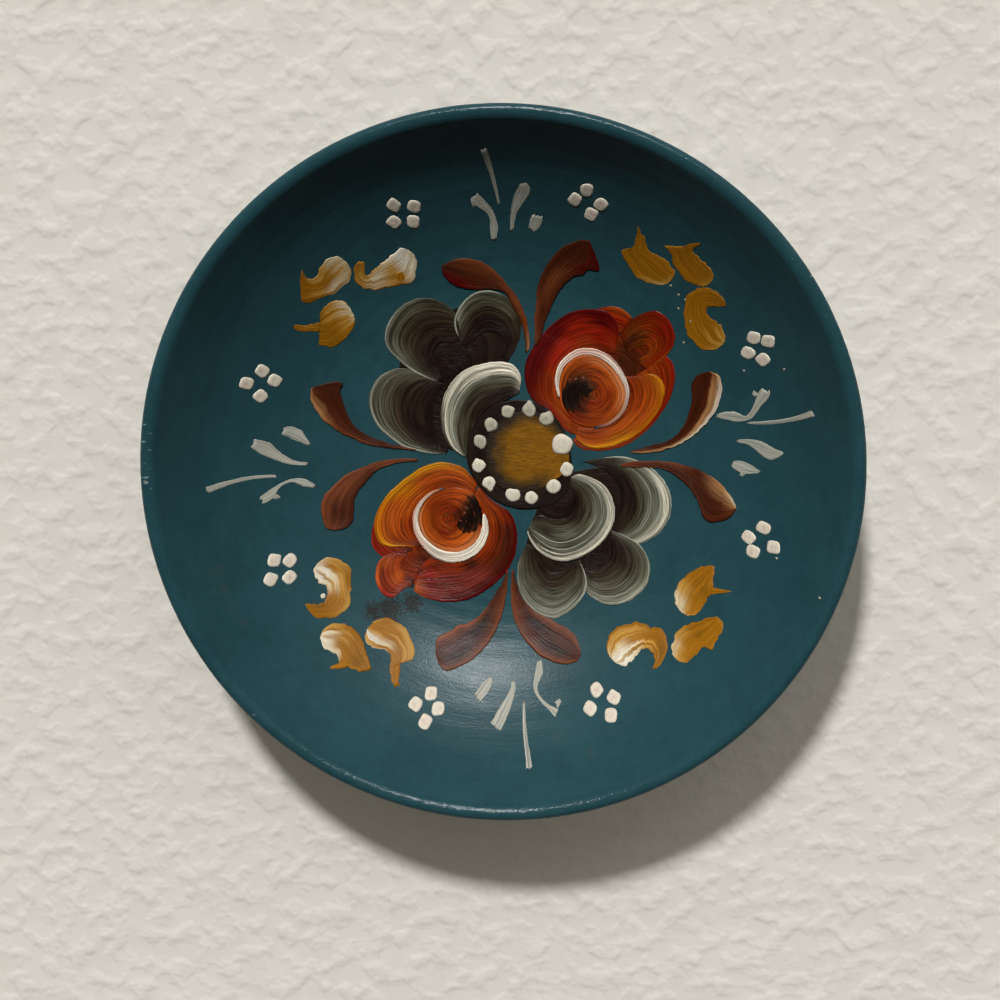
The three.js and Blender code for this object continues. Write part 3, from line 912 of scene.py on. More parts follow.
def red_rose_upper_right(films):
    """An open rose: back, top and side petals round a bowl with a dark heart and a pale rim."""
    films.stroke(
        ring_of(27, 20, 1),
        """11 20, 12 27, 17 33, 24 37, 31 38.5, 38 37, 43 33, 44 27, 42 20, 40 12, 35 7, 28 4, 21 5,
        15 9, 12 14, 11 20""",
        """rust / rust brick / rust brick / cocoa cocoa brick / sienna cocoa cocoa / rust brick / rust /
        rust / rust""",
        loop=True, filled=True)
    back_in = "36 22, 38 12, 30 6, 22 6"
    back_out = """46.2 29, 47.8 27, 48.6 24, 48.5 20.5, 47.6 17, 45.5 12.8, 42 8, 38 4.5, 33.5 1.9,
        28.5 0.8, 24 0.8, 21 1.8, 19.3 3.8"""
    films.stroke(
        back_in, back_out,
        "brick rust red / rust brick red / rust rust brick / rust rust brick", level=1)
    films.stroke(
        "27 36, 30 34, 33 35", "25.5 41.9, 29 43, 32 42.8, 34.5 41.6, 36.3 39.8",
        "maroon red red red / brick brick red orange / cocoa brick red orange", level=2)
    upper_in = "35 29.5, 37.5 31, 39.5 31.8, 41 31.2, 41 29.8, 39.5 28.6, 37.5 27.5"
    upper_out = """33 34.5, 34.5 37.8, 36.8 39.8, 38.7 40.9, 41 41.8, 43.5 41.9, 45.5 40.6, 47.3 38.3,
        48.3 35.5, 48.3 33, 47.2 30.5, 45.5 28.3, 43 26.3, 40 24.8"""
    films.stroke(
        upper_in, upper_out,
        """cocoa cocoa brick / sienna cocoa sienna brick / sienna sienna brick red / rust brick red red /
        sienna rust brick red red / sienna rust brick red orange / cocoa sienna brick brick""",
        level=3, streak=0.36)
    gold_in = "34.5 22.5, 36 19.5, 35.8 15, 33 11, 29 8.3, 25 7.3, 20.5 7.5"
    gold_out = """38.3 22.8, 41 23.5, 43 23.3, 44.8 22, 45.8 19.6, 45.6 16.8, 44.6 13.5, 42 9.5,
        38.8 6.3, 34.5 3.6, 30.5 2, 26.5 1.4, 23 2.1, 20.3 4.2"""
    films.stroke(
        gold_in, gold_out,
        """brick rust rust amber / brick rust orange yellow / rust rust orange amber /
        rust orange orange amber / rust orange amber yellow / rust rust orange yellow /
        rust rust orange amber""",
        level=4, streak=0.34)
    left_in = "19 9, 16 12, 15 17, 15 21.5, 16.5 25.5, 19.5 28.5, 24 30, 28 29.5, 31.5 29"
    left_out = """19.3 5.5, 16.5 7.2, 14.6 9.3, 12.5 12.6, 8.4 14.9, 6.3 18, 5.3 22, 5.5 26, 7 29.5,
        9.2 33, 12 36.2, 15.5 39.3, 19 41.3, 23 42.1, 27 42, 30 40.8, 32 38, 32.4 35.5"""
    films.stroke(
        left_in, left_out,
        """rust rust brick / rust rust red brick / rust brick maroon / rust brick maroon maroon /
        rust red maroon maroon / rust red red maroon maroon / rust brick red red maroon /
        brick red red maroon maroon / brick brick red maroon""",
        level=5, streak=0.3)
    films.stroke(
        ring_of(25, 17, 0.5),
        """15.5 16, 15.4 20, 16 23, 17.7 25.9, 20.3 28, 23.5 28.8, 26.5 28.4, 29 27, 31.2 24.9, 33 22,
        34.4 19, 34.6 16.5, 33.6 13.5, 31.5 10.7, 28.5 8.6, 25 7.8, 21 8.5, 18 10.5, 16.3 13, 15.5 16""",
        """cocoa cocoa umber cocoa orange / sienna cocoa umber sienna orange /
        sienna cocoa sienna rust orange / brick cocoa rust rust orange peach /
        sienna brick rust orange orange peach / brick rust brick orange peach /
        sienna brick rust rust orange / sienna brick rust rust rust / cocoa cocoa cocoa brick brick /
        cocoa cocoa umber cocoa orange""",
        level=7, loop=True, filled=True, streak=0.38, wander=0.14)
    shadow(
        films, 25.6, 16.6,
        "2.4 85 200, 3.7 92 214, 5 98 222, 6.3 112 226, 7.5 128 224, 8.5 140 216")
    films.line(
        """15.4 16.4, 14.8 19.5, 14.9 22.3, 16 25.6, 18.4 28.1, 21.5 29.6, 25 29.6, 28.2 28.5, 31 26.3,
        33.3 23, 34.8 19.7, 35.1 16.5, 34.2 13.4, 32.3 10.8, 29.5 8.7, 25.5 7.4""",
        [0.5, 1.1, 1.4, 1.8, 2, 2, 2, 2, 1.9, 1.7, 1.3, 1.1, 1.1, 1, 0.9, 0.4],
        "chalk / chalk blush / blush / blush chalk / chalk blush / blush tan / orange",
        level=10, streak=0.1, fade=(0, 0.2))


def red_rose_lower_left(films):
    """The same kind of rose, turned to face up and to the right."""
    films.stroke(
        ring_of(-17, -20, 1),
        """-36 -18, -33 -11, -27 -7, -19 -5, -12 -8, -7 -13, -2 -17, 1 -23, 0 -30, -5 -37, -12 -41,
        -20 -41, -28 -39, -33 -37, -35 -32, -36 -27, -37 -22, -36 -18""",
        """rust / rust / rust / rust brick / rust brick / brick / rust sienna cocoa / rust cocoa brick /
        rust brick rust / rust""",
        loop=True, filled=True)
    films.stroke(
        "-27 -29, -30 -28, -34 -28",
        "-31 -31.5, -36 -31.2, -38.3 -29.5, -39.6 -27, -39.6 -23.5, -38.9 -21",
        "cocoa brick / brick red / rust red", level=1)
    films.stroke(
        "-29 -30.5, -30.5 -33, -29.5 -36, -27 -38",
        """-33.5 -30.2, -36.5 -31.4, -38 -33.5, -38.4 -36.2, -38 -39, -36.7 -41.3, -35 -42.6, -33 -42.9,
        -31.3 -41.6, -29.5 -40.4, -27.5 -40.2""",
        """cocoa brick brick / brick rust orange rust / brick rust brick orange / rust orange brick red /
        cocoa brick brick red / cocoa""",
        level=2, streak=0.34)
    # The wine tones in this petal's lower part stand partly for painted sheen from the dish's gloss
    films.stroke(
        """-26 -35, -23 -32, -19 -31, -15 -31, -10.5 -29.5, -7.5 -27, -6.2 -24, -6.2 -20.5, -7 -16,
        -9 -12.5""",
        """-27.2 -41.2, -24.5 -43, -21 -44, -17 -44.6, -12.5 -44.2, -8.5 -42.7, -4.5 -40, -1 -36.8,
        1.5 -33, 3 -28.5, 3.2 -24, 2.5 -20.5, 0.8 -17.6, -2 -15.7, -5 -13.5, -8 -9.8""",
        """cocoa brick orange orange / brick red wine red / cocoa brick wine wine maroon /
        brick brick wine wine maroon / brick cocoa wine wine maroon / rust brick cocoa maroon /
        rust brick cocoa maroon / rust brick cocoa maroon / rust rust brick maroon / rust rust brick /
        rust""",
        level=4, streak=0.46, pitch=0.9)
    films.stroke(
        "-9.5 -13, -14 -10.8, -18 -11, -22.5 -13.5, -25.5 -17, -26.3 -21, -25.5 -25, -24 -28",
        """-8.3 -9.3, -10.3 -7, -12.3 -4.8, -15 -3.6, -18.5 -3, -22 -3.5, -26 -5.3, -30 -8.2,
        -33.7 -11.5, -36.7 -15.3, -38.4 -19, -38.9 -22.5, -38.3 -25.3, -37 -27.3, -34.5 -28.3,
        -31.5 -28.2, -27 -28.3""",
        """rust / rust rust orange amber / rust rust orange yellow / rust rust orange yellow /
        rust orange amber yellow / rust orange orange amber / brick rust orange amber /
        brick rust rust yellow / brick cocoa rust amber""",
        level=5, streak=0.34)
    films.stroke(
        ring_of(-17, -19.5, 0.5, start=-10),
        """-6.9 -20.5, -7.2 -23, -8.3 -26, -10.5 -28.3, -13.5 -29.8, -17 -30, -20 -29.2, -23 -27,
        -25 -24.3, -26 -21, -25.8 -18, -24 -14.7, -21.5 -12.2, -18 -10.7, -14 -10.4, -10.5 -11.5, -8 -14,
        -6.9 -17.5, -6.9 -20.5""",
        """brick cocoa cocoa umber rust / sienna brick rust orange orange peach /
        brick rust brick orange orange peach / sienna rust brick rust orange peach /
        brick rust rust orange orange peach / brick rust rust orange orange peach /
        sienna brick rust brick rust orange / sienna brick brick rust rust /
        brick brick rust rust orange / brick cocoa cocoa umber rust / brick cocoa cocoa umber rust""",
        level=7, loop=True, filled=True, streak=0.4, wander=0.14)
    shadow(
        films, -17.6, -19.4,
        "4.5 -4 -48, 5.4 22 -52, 6.6 36 -52, 7.8 50 -44, 9 54 -34, 9.9 46 -18")
    films.line(
        """-18 -10.6, -21.5 -11.9, -24.3 -14.2, -26.3 -17.5, -26.7 -20.7, -25.9 -24.2, -24.1 -27,
        -21.4 -29.6, -18.3 -31, -14.8 -31.3, -11.5 -30.3, -8.7 -28.4, -6.9 -25.6, -6.1 -22.2, -6.4 -19,
        -6.6 -18.3""",
        [0.4, 0.8, 1, 1.5, 1.6, 1.9, 2.2, 2.8, 3, 3, 2.9, 2.8, 2.4, 2, 1.2, 0.5],
        "peach / chalk blush / chalk blush / chalk / chalk / chalk", level=10, streak=0.06,
        fade=(0.12, 0))


def grey_rose_upper_left(films):
    """Three lobes and a ball, each brushed from black inside to a pale outer edge."""
    films.stroke(
        ring_of(-16, 22, 1),
        """-34 12, -32 20, -30 30, -26 38, -18 41, -10 43, -2 42, 1 36, 0 28, 0 22, -6 14, -10 6, -12 1,
        -20 1, -28 3, -34 12""",
        "soot umber / soot umber / soot umber / soot umber / soot umber", loop=True, filled=True)
    top_in = "-12 31, -9 33, -6 35, -2.5 34.5, 0 31.5, -1.5 28"
    top_out = """-13.3 33, -14.6 36, -14.8 39, -13.6 42, -11.3 45, -8.5 46.8, -5.5 47.3, -2.5 46.8,
        0.5 45, 3 42, 4.2 38, 4 34, 2.5 30, 0.5 26.5"""
    films.stroke(
        top_in, top_out,
        """soot umber bark stone / soot umber olive ash / soot soot umber olive stone /
        soot soot umber bark olive stone / soot umber bark olive olive / soot umber bark bark /
        soot umber umber bark / soot soot umber umber""",
        level=2, streak=0.3)
    left_in = "-18.5 21.5, -20 25, -21 29, -19 32, -15.5 32, -13 34"
    left_out = """-20 20.5, -23.5 22, -27 23.8, -30.5 26.5, -33.5 29.5, -34.9 32.5, -34.6 36, -33 39.5,
        -30.5 42.5, -27 44.5, -23.5 45.2, -20 44.5, -17 43, -14.6 40.8"""
    films.stroke(
        left_in, left_out,
        """soot umber bark stone / soot umber bark olive stone / soot umber bark olive stone stone /
        soot umber bark bark olive stone / soot umber umber bark olive stone / umber umber bark olive /
        umber bark bark olive""",
        level=4, streak=0.3)
    films.rib(left_in, left_out, 0.985, 0.55, "ash", 6, 0.02, 0.62)
    films.rib(top_in, top_out, 0.98, 0.6, "ash", 6, 0.02, 0.52)
    low_in = "-17 0.5, -20.5 5, -21.5 11, -20.5 16, -18 20"
    low_out = """-17.5 -0.5, -21 -0.4, -24 0, -27.5 0.8, -31 2, -34 4.3, -37 6.8, -39.3 11, -40 15,
        -39.3 18.5, -37.5 21.5, -34.8 23.5, -31 24.6, -27 23.9, -23 21.7"""
    films.stroke(
        low_in, low_out,
        """soot umber bark stone / soot soot umber olive stone / soot soot umber bark olive ash /
        soot umber umber bark olive stone / soot umber umber bark olive stone /
        soot umber bark olive stone / soot umber umber bark olive""",
        level=5, streak=0.34, pitch=0.9)
    films.rib(low_in, low_out, 0.975, 0.6, "ash", 7, 0.03, 0.8)
    films.rib(low_in, low_out, 0.83, 0.55, "stone", 7, 0.1, 0.72)
    films.rib(low_in, low_out, 0.64, 0.4, "olive", 7, 0.1, 0.6)
    ball_in = "3.8 17.5, 2 16.5, -1 14.5, -3 13.5, -5 12.5, -6.5 10.5, -7.5 8, -8.5 5, -9.5 2, -11 -0.5"
    ball_out = """4 19.3, 4.3 22, 3 24.8, 0.5 26.3, -3.5 26.6, -8 25.8, -12 24.2, -15.5 21, -17.8 17,
        -19 12, -18.8 7, -17.4 3.2, -15 0.3, -12 -1.5"""
    films.stroke(
        ball_in, ball_out,
        """umber bone / soot umber bark stone chalk chalk / soot umber bark olive stone chalk chalk /
        soot umber bark olive stone bone bone / soot umber bark olive stone ash bone /
        umber bark olive bark stone bone stone / umber bark olive bark stone ash olive /
        umber bark olive bark ash olive""",
        level=7, streak=0.22, pitch=0.9)
    films.rib(ball_in, ball_out, 0.86, 0.8, "bone", 9, 0.1, 0.98)
    films.rib(ball_in, ball_out, 0.68, 0.5, "ash", 9, 0.3, 0.98)


def grey_rose_lower_right(films):
    """The same kind of rose, with its ball towards the middle and paler lobes."""
    films.stroke(
        ring_of(24, -22, 1),
        """6 -27, 10 -14, 14 -8, 22 -5, 32 -4, 42 -8, 44 -16, 40 -23, 38 -28, 37 -38, 28 -41, 23 -36,
        18 -42, 8 -40, 5 -33, 6 -27""",
        "umber / soot umber / soot umber / soot umber / umber", loop=True, filled=True)
    right_in = "24 -3, 29 -5.5, 32.5 -9.5, 33.5 -14, 33 -18.5, 31.5 -22.5"
    right_out = """22 -2.6, 27 -1.6, 31 -1, 35 -1.2, 38.5 -2.2, 41.5 -3.6, 44.5 -6, 47 -9.5, 48.2 -13.5,
        48 -17.5, 46.5 -21, 44 -23.8, 41 -25.7, 38 -26.6, 34 -24.5"""
    films.stroke(
        right_in, right_out,
        """umber / soot umber bark olive / soot umber olive stone ash / soot umber olive stone ash bone /
        soot umber olive stone ash bone / soot bark olive stone ash bone / umber bark stone ash""",
        level=1, streak=0.3, pitch=0.9)
    films.rib(right_in, right_out, 0.97, 0.6, "ash", 3, 0.12, 0.97)
    low_in = "30.5 -24.5, 31 -28, 30 -32, 27 -34.5, 24 -35"
    low_out = """31 -22.8, 34 -24, 38 -26, 40.5 -28.5, 42 -31.5, 42.2 -34.5, 41.5 -37.8, 39.5 -40.5,
        36.5 -43, 33 -44.3, 29.5 -44.4, 26.5 -43.3, 24 -41.5, 23.2 -38"""
    films.stroke(
        low_in, low_out,
        """umber bark stone / soot umber bark olive stone / soot umber bark olive stone /
        umber bark olive stone ash / umber bark olive stone ash / umber bark olive stone""",
        level=3, streak=0.26)
    films.rib(low_in, low_out, 0.97, 0.5, "ash", 5, 0.05, 0.9)
    left_in = "8.5 -28.5, 10 -32, 13 -35.5, 17 -35, 20 -32.5"
    left_out = """6.4 -27, 4.4 -30.5, 3.3 -35, 3.7 -40, 5.3 -44, 8 -46.8, 11.5 -48.6, 14.5 -48.9,
        17.5 -47.6, 20 -45.8, 22.2 -43, 23.6 -40.5, 23.6 -37.5, 22.8 -34.5, 21.5 -31.8"""
    films.stroke(
        left_in, left_out,
        """umber bark bark / umber bark olive stone / umber bark olive stone ash /
        bark bark olive stone ash / bark bark olive stone ash / umber bark olive stone /
        umber umber bark""",
        level=5, streak=0.24)
    films.rib(left_in, left_out, 0.97, 0.6, "ash", 7, 0.12, 0.98)
    films.stroke(
        "8 -15, 12 -19, 17 -19.5, 20 -15", "12 -8, 15 -8, 19 -8, 21 -10",
        "umber / soot umber", level=6, streak=0.3)
    ball_in = "14 -9, 17.5 -10, 19.5 -12, 20 -15, 19 -18, 16.5 -19.5, 13.5 -19.5, 10.5 -18.5, 8 -19"
    ball_out = """19.3 -7, 21 -6.2, 24 -6.9, 28 -9, 30.7 -12.5, 31.8 -17, 31.2 -21.5, 29.3 -25, 26.5 -28,
        23 -30.3, 19.5 -31.8, 16 -32.2, 12.5 -31.2, 9.3 -29, 7.2 -26.3, 6.2 -23.5"""
    films.stroke(
        ball_in, ball_out,
        """umber umber bone / umber bark olive ash chalk / soot bark olive stone ash chalk /
        umber bark olive stone ash bone / bark olive stone olive ash bone /
        bark olive bark stone olive ash / umber bark olive stone bark bone""",
        level=8, streak=0.26, pitch=1.0)
    films.rib(ball_in, ball_out, 0.96, 0.8, "bone", 10, 0.06, 0.97)
    films.rib(ball_in, ball_out, 0.84, 0.6, "bone", 10, 0.12, 0.9)
    films.rib(ball_in, ball_out, 0.72, 0.5, "ash", 10, 0.3, 0.95)
    films.rib(ball_in, ball_out, 0.56, 0.4, "ash", 10, 0.4, 0.95)


def seed_centre(films):
    """A dark ring of paint with dabbed ochre inside it."""
    films.stroke(
        ring_of(5.5, -1, 9),
        """-11.5 0, -10.5 6, -7.3 11, -2.5 14.3, 3 15.6, 8.5 14.6, 12.8 12, 15.8 8.5, 18 4, 19 -1,
        19.3 -6, 18 -11, 14.5 -14.8, 9.5 -16.3, 4 -16.6, -1 -15.3, -5 -13, -8.5 -9.3, -10.8 -5,
        -11.5 0""",
        """umber soot umber / umber soot soot / umber soot soot / bark umber umber / umber soot umber /
        umber umber soot / umber / umber soot umber""",
        level=9, loop=True, streak=0.3)
    films.stroke(
        ring_of(6.5, 0.5, 0.5),
        """-6.3 0, -5.3 5, -2.3 9, 2.5 11.8, 8 12, 12.8 10, 16.2 6.3, 18 2, 18.4 -2.4, 17 -5.6, 14 -8,
        11 -10, 8 -11.6, 4.5 -12.6, 0.5 -11.8, -3.2 -8.8, -5.6 -4.6, -6.3 0""",
        """gold gold gold gold moss moss bark umber / gold gold gold gold gold moss bark umber /
        gold gold gold gold gold moss umber / gold gold gold gold gold gold moss bark /
        gold gold gold gold gold gold gold ochre / gold gold gold gold gold moss bark umber /
        gold gold gold gold gold moss bark umber / gold gold gold gold moss moss bark umber""",
        level=11, loop=True, filled=True, streak=0.2, wander=0.05, ridges=0.03, pitch=1.2,
        dabbed=True, uneven=0.2)


# Leaves: the two sides of each, from its thin foot to its broad end, and its tones
LEAVES = [
    ("""6.4 29.6, 6.7 32, 6.4 36, 5.4 40.5, 3.5 44.5, 1.5 47.6, -1 50.8, -4 53.7, -7 55.6, -10 56.6,
     -13 56.6, -16 55.8, -18.4 54.4""",
     """5.6 29.6, 5.5 32.5, 4.6 37, 3 41, 1 44.5, -1 47.3, -4 47.9, -8 47.7, -11.5 48, -14 48.6,
     -16.2 50, -17.9 52.2, -18.4 54.4""",
     """tan cocoa / russet sienna cocoa / russet russet cocoa / russet cocoa cocoa /
     russet cocoa maroon / cocoa cocoa maroon"""),
    ("8.3 31.5, 8.2 36, 8.3 40, 8.6 44, 9 47.8, 10 51.5, 12 55.5, 15 59, 18.5 61.3, 22 62.3, 24 62",
     """9 31.3, 10.2 34.5, 11.3 38.5, 12.7 42, 14.5 45.8, 16.5 49, 19.5 51.8, 22 52.3, 23.8 53.9,
     26.6 53.5, 26.3 56, 24.8 60, 24 62""",
     "russet cocoa / russet cocoa cocoa / cocoa russet cocoa / cocoa cocoa maroon / cocoa cocoa maroon"),
    ("""36.3 0.8, 39 1.4, 42 2.4, 46 3.7, 49 5.5, 51.3 8.5, 52.8 12, 53.6 16, 53.4 20, 54.3 22.8,
     56 24.3, 58.5 25""",
     """36.3 0.4, 39 0.2, 42 0.5, 46 1.4, 49.5 2.8, 53 5, 56.3 8, 59 11.3, 60.8 14.5, 61.7 18, 61.8 21.5,
     60.8 24, 58.5 25""",
     """cocoa tan / cocoa cocoa tan / cocoa cocoa russet cream / cocoa cocoa cocoa tan chalk /
     cocoa cocoa cocoa tan chalk / cocoa cocoa cocoa russet buff"""),
    ("33.5 -3.3, 37 -2.2, 41 -2.2, 44 -2, 48 -2.3, 52 -3, 56 -4, 60 -6, 63 -8.5, 65.2 -11.3, 66.7 -14.2",
     """33.5 -3.9, 38 -4, 44 -3.9, 47.5 -4.9, 50.5 -6.8, 53 -9, 55.2 -12, 56.3 -14.5, 57.5 -17.6,
     59 -18.8, 62 -18.3, 64.8 -17, 66.7 -14.2""",
     """russet / russet cocoa russet / russet cocoa cocoa / cocoa / tan cocoa cocoa /
     cream tan russet cocoa"""),
    ("""0.6 -35, 0.4 -38.5, 0 -42, -0.5 -45, -1.2 -48.5, -2.5 -52, -4.5 -55.5, -7.5 -59, -11 -61.5,
     -15 -63.2, -17.5 -63.4, -19.3 -62, -20.5 -59""",
     """0.1 -35, -1 -38.5, -2.8 -41.5, -4.6 -44.5, -6.5 -47.2, -8.7 -49.3, -11.5 -50.9, -14 -51.2,
     -16 -52.7, -18.3 -53.6, -20.3 -55, -20.5 -59""",
     """russet cocoa / russet cocoa / russet cocoa umber russet / russet umber cocoa russet /
     russet cocoa cocoa russet"""),
    ("""1.7 -35, 1.6 -40, 1.5 -44, 2 -48, 3.5 -52, 5.5 -55.2, 8.5 -58, 11.5 -60, 15 -61.2, 18.5 -61.3,
     21.2 -60.3, 22.3 -58.8""",
     """2.3 -35, 3 -38.5, 4 -42, 6 -45, 9 -47.3, 12 -48.8, 16 -50.6, 19 -52.3, 20.7 -54, 21.9 -56.5,
     22.3 -58.8""",
     """russet cocoa / russet cocoa / russet cocoa umber russet / russet umber cocoa russet /
     russet cocoa cocoa russet"""),
    ("""-26.5 0.5, -30 0.8, -34 1.1, -38 1.7, -42 2.6, -45 4.2, -48 5.6, -51 7.8, -53.3 10, -55.3 13,
     -56.4 16, -56.2 19.3""",
     """-26.5 0.8, -30 1.5, -34 2.4, -38 3.7, -41.5 5.3, -44 7.4, -45.7 10, -47 13, -47.8 16, -48.3 18.5,
     -47.3 20.3, -49.5 20.9, -51.5 20.7, -54 20, -56.2 19.3""",
     """russet / cocoa / russet cocoa cocoa / russet cocoa cocoa cocoa / tan cocoa cocoa cocoa /
     tan russet cocoa cocoa"""),
    ("""-26 -2, -30 -2, -34 -2.3, -38 -3, -42 -4.6, -45.5 -6, -48.5 -8, -51.3 -10.5, -53.3 -13, -54 -16,
     -53.8 -19, -52.7 -22, -50.5 -22.9""",
     """-26 -2.6, -30 -3, -34 -3.8, -37.5 -5.3, -40 -7.5, -42 -9.8, -43.8 -12, -44.6 -15, -44.7 -18,
     -45.5 -21, -47.5 -22.5, -50.5 -22.9""",
     "russet / russet / russet cocoa / russet russet cocoa / russet cocoa cocoa / russet russet cocoa"),
]


def leaves(films):
    for side_a, side_b, tones in LEAVES:
        films.stroke(side_a, side_b, tones, level=9, streak=0.3, wander=0.1, uneven=0.2)


# Scrolls: the two sides of each, from its tail to its head, and its tones
SCROLLS = [
    ("""-57.4 48.5, -57.4 51, -56.7 53.7, -55.8 51.9, -55 51.3, -53.5 51.5, -52.6 52.3, -51.8 54.6,
     -50 56.7, -48 57.7, -46.3 57.4, -44.8 56.2""",
     """-57.5 48, -57.5 46, -57.2 44.7, -55 44.6, -52.5 45.5, -49 46.7, -46.8 48.2, -44.8 50, -43.7 52.3,
     -43.8 54.5, -44.8 56.2""",
     "ochre / ochre / buff ochre buff / buff ochre cream / cream buff cream / cream cream buff"),
    ("""-41.7 56.2, -42.8 54, -42.8 51.5, -41.8 49.4, -40 48, -37.5 47.6, -35 48.4, -32.5 48.6,
     -30.3 49.3, -28 49.4, -26.3 50.7, -25.5 53, -25.2 55.5, -25.8 57.8, -27.3 59.2""",
     """-40.2 56.3, -40 54.5, -39.9 52.6, -39 52, -37.3 53.7, -35 55.5, -33 57, -31 58.8, -29.3 59.7,
     -27.3 59.2""",
     """ochre / ochre buff ochre / ochre cream buff / ochre buff cream / cream chalk chalk /
     cream cream chalk"""),
    ("""-60.4 38.2, -57 38, -53 38.5, -52.9 40.5, -52 42.3, -50 44.4, -48 44.9, -46 44.3, -44.5 42.5,
     -43.4 40""",
     """-60.2 36.8, -56.5 36, -53.3 36, -53.3 34.5, -53.5 32.2, -52 31.5, -50 31, -48 31.8, -46 33.7,
     -44.5 35.7, -43.4 38, -43.4 40""",
     "ochre / ochre / ochre gold ochre / buff ochre gold / cream buff ochre / cream cream ochre"),
    ("""37.3 66.5, 38.3 64.8, 39.3 62.8, 40 60.5, 41.5 58.8, 44 57.8, 46 56.3, 47.6 54, 47.4 52,
     46.3 50.2""",
     """37.3 66.5, 36.9 63.5, 36.4 60.6, 34.4 60, 32.7 59.2, 33.3 57.5, 34.7 55.3, 36.7 52.5, 39 50.8,
     42 49.8, 44.5 49.5, 46.3 50.2""",
     "ochre / ochre / ochre / ochre / ochre ochre buff / buff buff cream"),
    ("50 61.2, 51.5 60.3, 53 59.3, 54.3 57.8, 56.5 56, 58 53.5, 58.3 51.8, 57.3 50.2",
     "44.2 61.2, 45.7 59.7, 47 57.2, 48.3 54.3, 50 52, 52.5 50.3, 55.3 49.5, 57.3 50.2",
     "ochre / ochre / ochre / ochre / buff"),
    ("""62.4 44.5, 61 46.8, 58.8 48.5, 56 49.2, 53.2 48.4, 51.3 46.6, 50.7 44, 51 40, 51.5 37, 52.8 34.3,
     55 32, 57.5 31.1, 60 31.6, 62 33.3""",
     "62.4 44.5, 61 44, 59.5 44, 57.5 43.8, 57 42, 58 40.6, 59.8 39.5, 61.6 37.6, 62.4 35.3, 62 33.3",
     "ochre / ochre / ochre / ochre / ochre ochre buff / buff"),
    ("60.7 -31, 57.5 -31.5, 54.5 -33, 51.8 -35.3, 50 -37.8, 49.3 -40.5, 49.7 -43, 51.3 -45",
     """60.8 -32.8, 60.2 -34.5, 60.3 -36.5, 59.8 -38.8, 58.3 -40.7, 57.3 -42.7, 56 -44.8, 53.7 -45.7,
     51.3 -45""",
     "ochre / ochre / ochre ochre gold / buff ochre ochre / cream buff ochre / cream cream buff"),
    ("61.3 -44.5, 58.5 -45.7, 55 -47, 52 -48.7, 49.8 -51, 48.5 -54, 48.8 -56.5, 50.5 -58.1",
     """63 -46, 62.7 -48, 61.8 -49.8, 60.7 -51.8, 60 -53.7, 58 -53.4, 56.8 -54, 55.3 -55.8, 53 -58,
     50.5 -58.1""",
     "ochre / ochre / ochre gold ochre / buff ochre ochre / cream buff ochre / cream buff buff"),
    ("""43 -61, 45 -59.8, 46.6 -57, 47.4 -54, 46.8 -51.5, 45 -49.9, 42.5 -50, 40.7 -49, 38.5 -48.7,
     35.5 -49.7, 32.3 -51, 30.3 -53.3, 29.8 -56, 30.6 -58.5, 32.3 -60.2""",
     "43 -61, 43.7 -58.5, 43 -56.5, 41.5 -55.6, 40 -56, 38.5 -57.8, 36.3 -60, 34.3 -60.8, 32.3 -60.2",
     """ochre / ochre gold ochre / ochre ochre buff / ochre buff ochre cream / ochre buff cream chalk /
     buff cream chalk cream"""),
    ("""-58 -43, -57 -45, -55 -47, -52 -47.6, -49.5 -47.3, -46.8 -45.8, -45.6 -44, -45.3 -40, -45.2 -36,
     -46 -33.8, -48 -32, -50 -31, -52.3 -30.8, -54.5 -31.6, -55.9 -33.5""",
     """-58 -43, -55 -43.4, -53 -43, -51.9 -41.8, -51.7 -40.2, -52.3 -38.7, -54.3 -37.5, -55.6 -35.5,
     -55.9 -33.5""",
     """ochre / ochre ochre gold / buff ochre ochre / ochre buff cream / buff ochre cream chalk /
     cream chalk cream"""),
    ("""-38.5 -62.7, -39 -60.5, -40.5 -58, -41 -56, -42.5 -53.3, -45 -50.7, -48 -49.3, -50.5 -49.4,
     -52.5 -50.6, -53.5 -52.5""",
     "-41.5 -62.9, -44 -61.8, -46.5 -61, -47.9 -59.6, -48.7 -57.7, -50.5 -56.8, -52.5 -55, -53.5 -52.5",
     """ochre / ochre gold ochre / ochre / ochre buff ochre cream / buff ochre cream chalk /
     buff cream chalk"""),
    ("""-32 -67.5, -33 -65, -33.5 -61, -33.7 -58.5, -35 -57.5, -37.5 -57, -39.8 -55.8, -40.9 -53.5,
     -40.3 -51.3""",
     """-30.5 -67.3, -30.7 -64, -30.7 -61.5, -30 -60.4, -28.3 -60.7, -26.8 -60, -26.3 -58, -26.9 -56,
     -28 -53.5, -30 -51.2, -33 -49.3, -36 -48.7, -38.5 -49.4, -40.3 -51.3""",
     """ochre / ochre / ochre ochre buff / cream ochre ochre buff / chalk buff ochre ochre /
     chalk buff ochre buff"""),
]
# Short spurs of paint that the same brush left beside some scrolls: their path and widths
SPURS = [
    ("54.7 62, 52.5 61.2, 50 59.5", [0.3, 1.6, 3]),
    ("65.3 -37.5, 62.5 -37.8, 59 -38", [0.2, 1.2, 2.2]),
    ("-50.4 -60.8, -48 -60.6, -45 -60", [0.6, 1.6, 2]),
]


def scrolls(films):
    for side_a, side_b, tones in SCROLLS:
        films.stroke(side_a, side_b, tones, level=1, streak=0.18, wander=0.4, ridges=0.04,
                     thick=0.09, ragged=0.8, uneven=0.35)
    for path, widths in SPURS:
        films.line(path, widths, "ochre", level=2, streak=0.3, ragged=0.6)
    films.dab(-30, 51.5, 1.3, 0.06, "ochre", level=3)
    films.dab(-53.1, -41.4, 0.7, 0.1, "chalk", level=3)


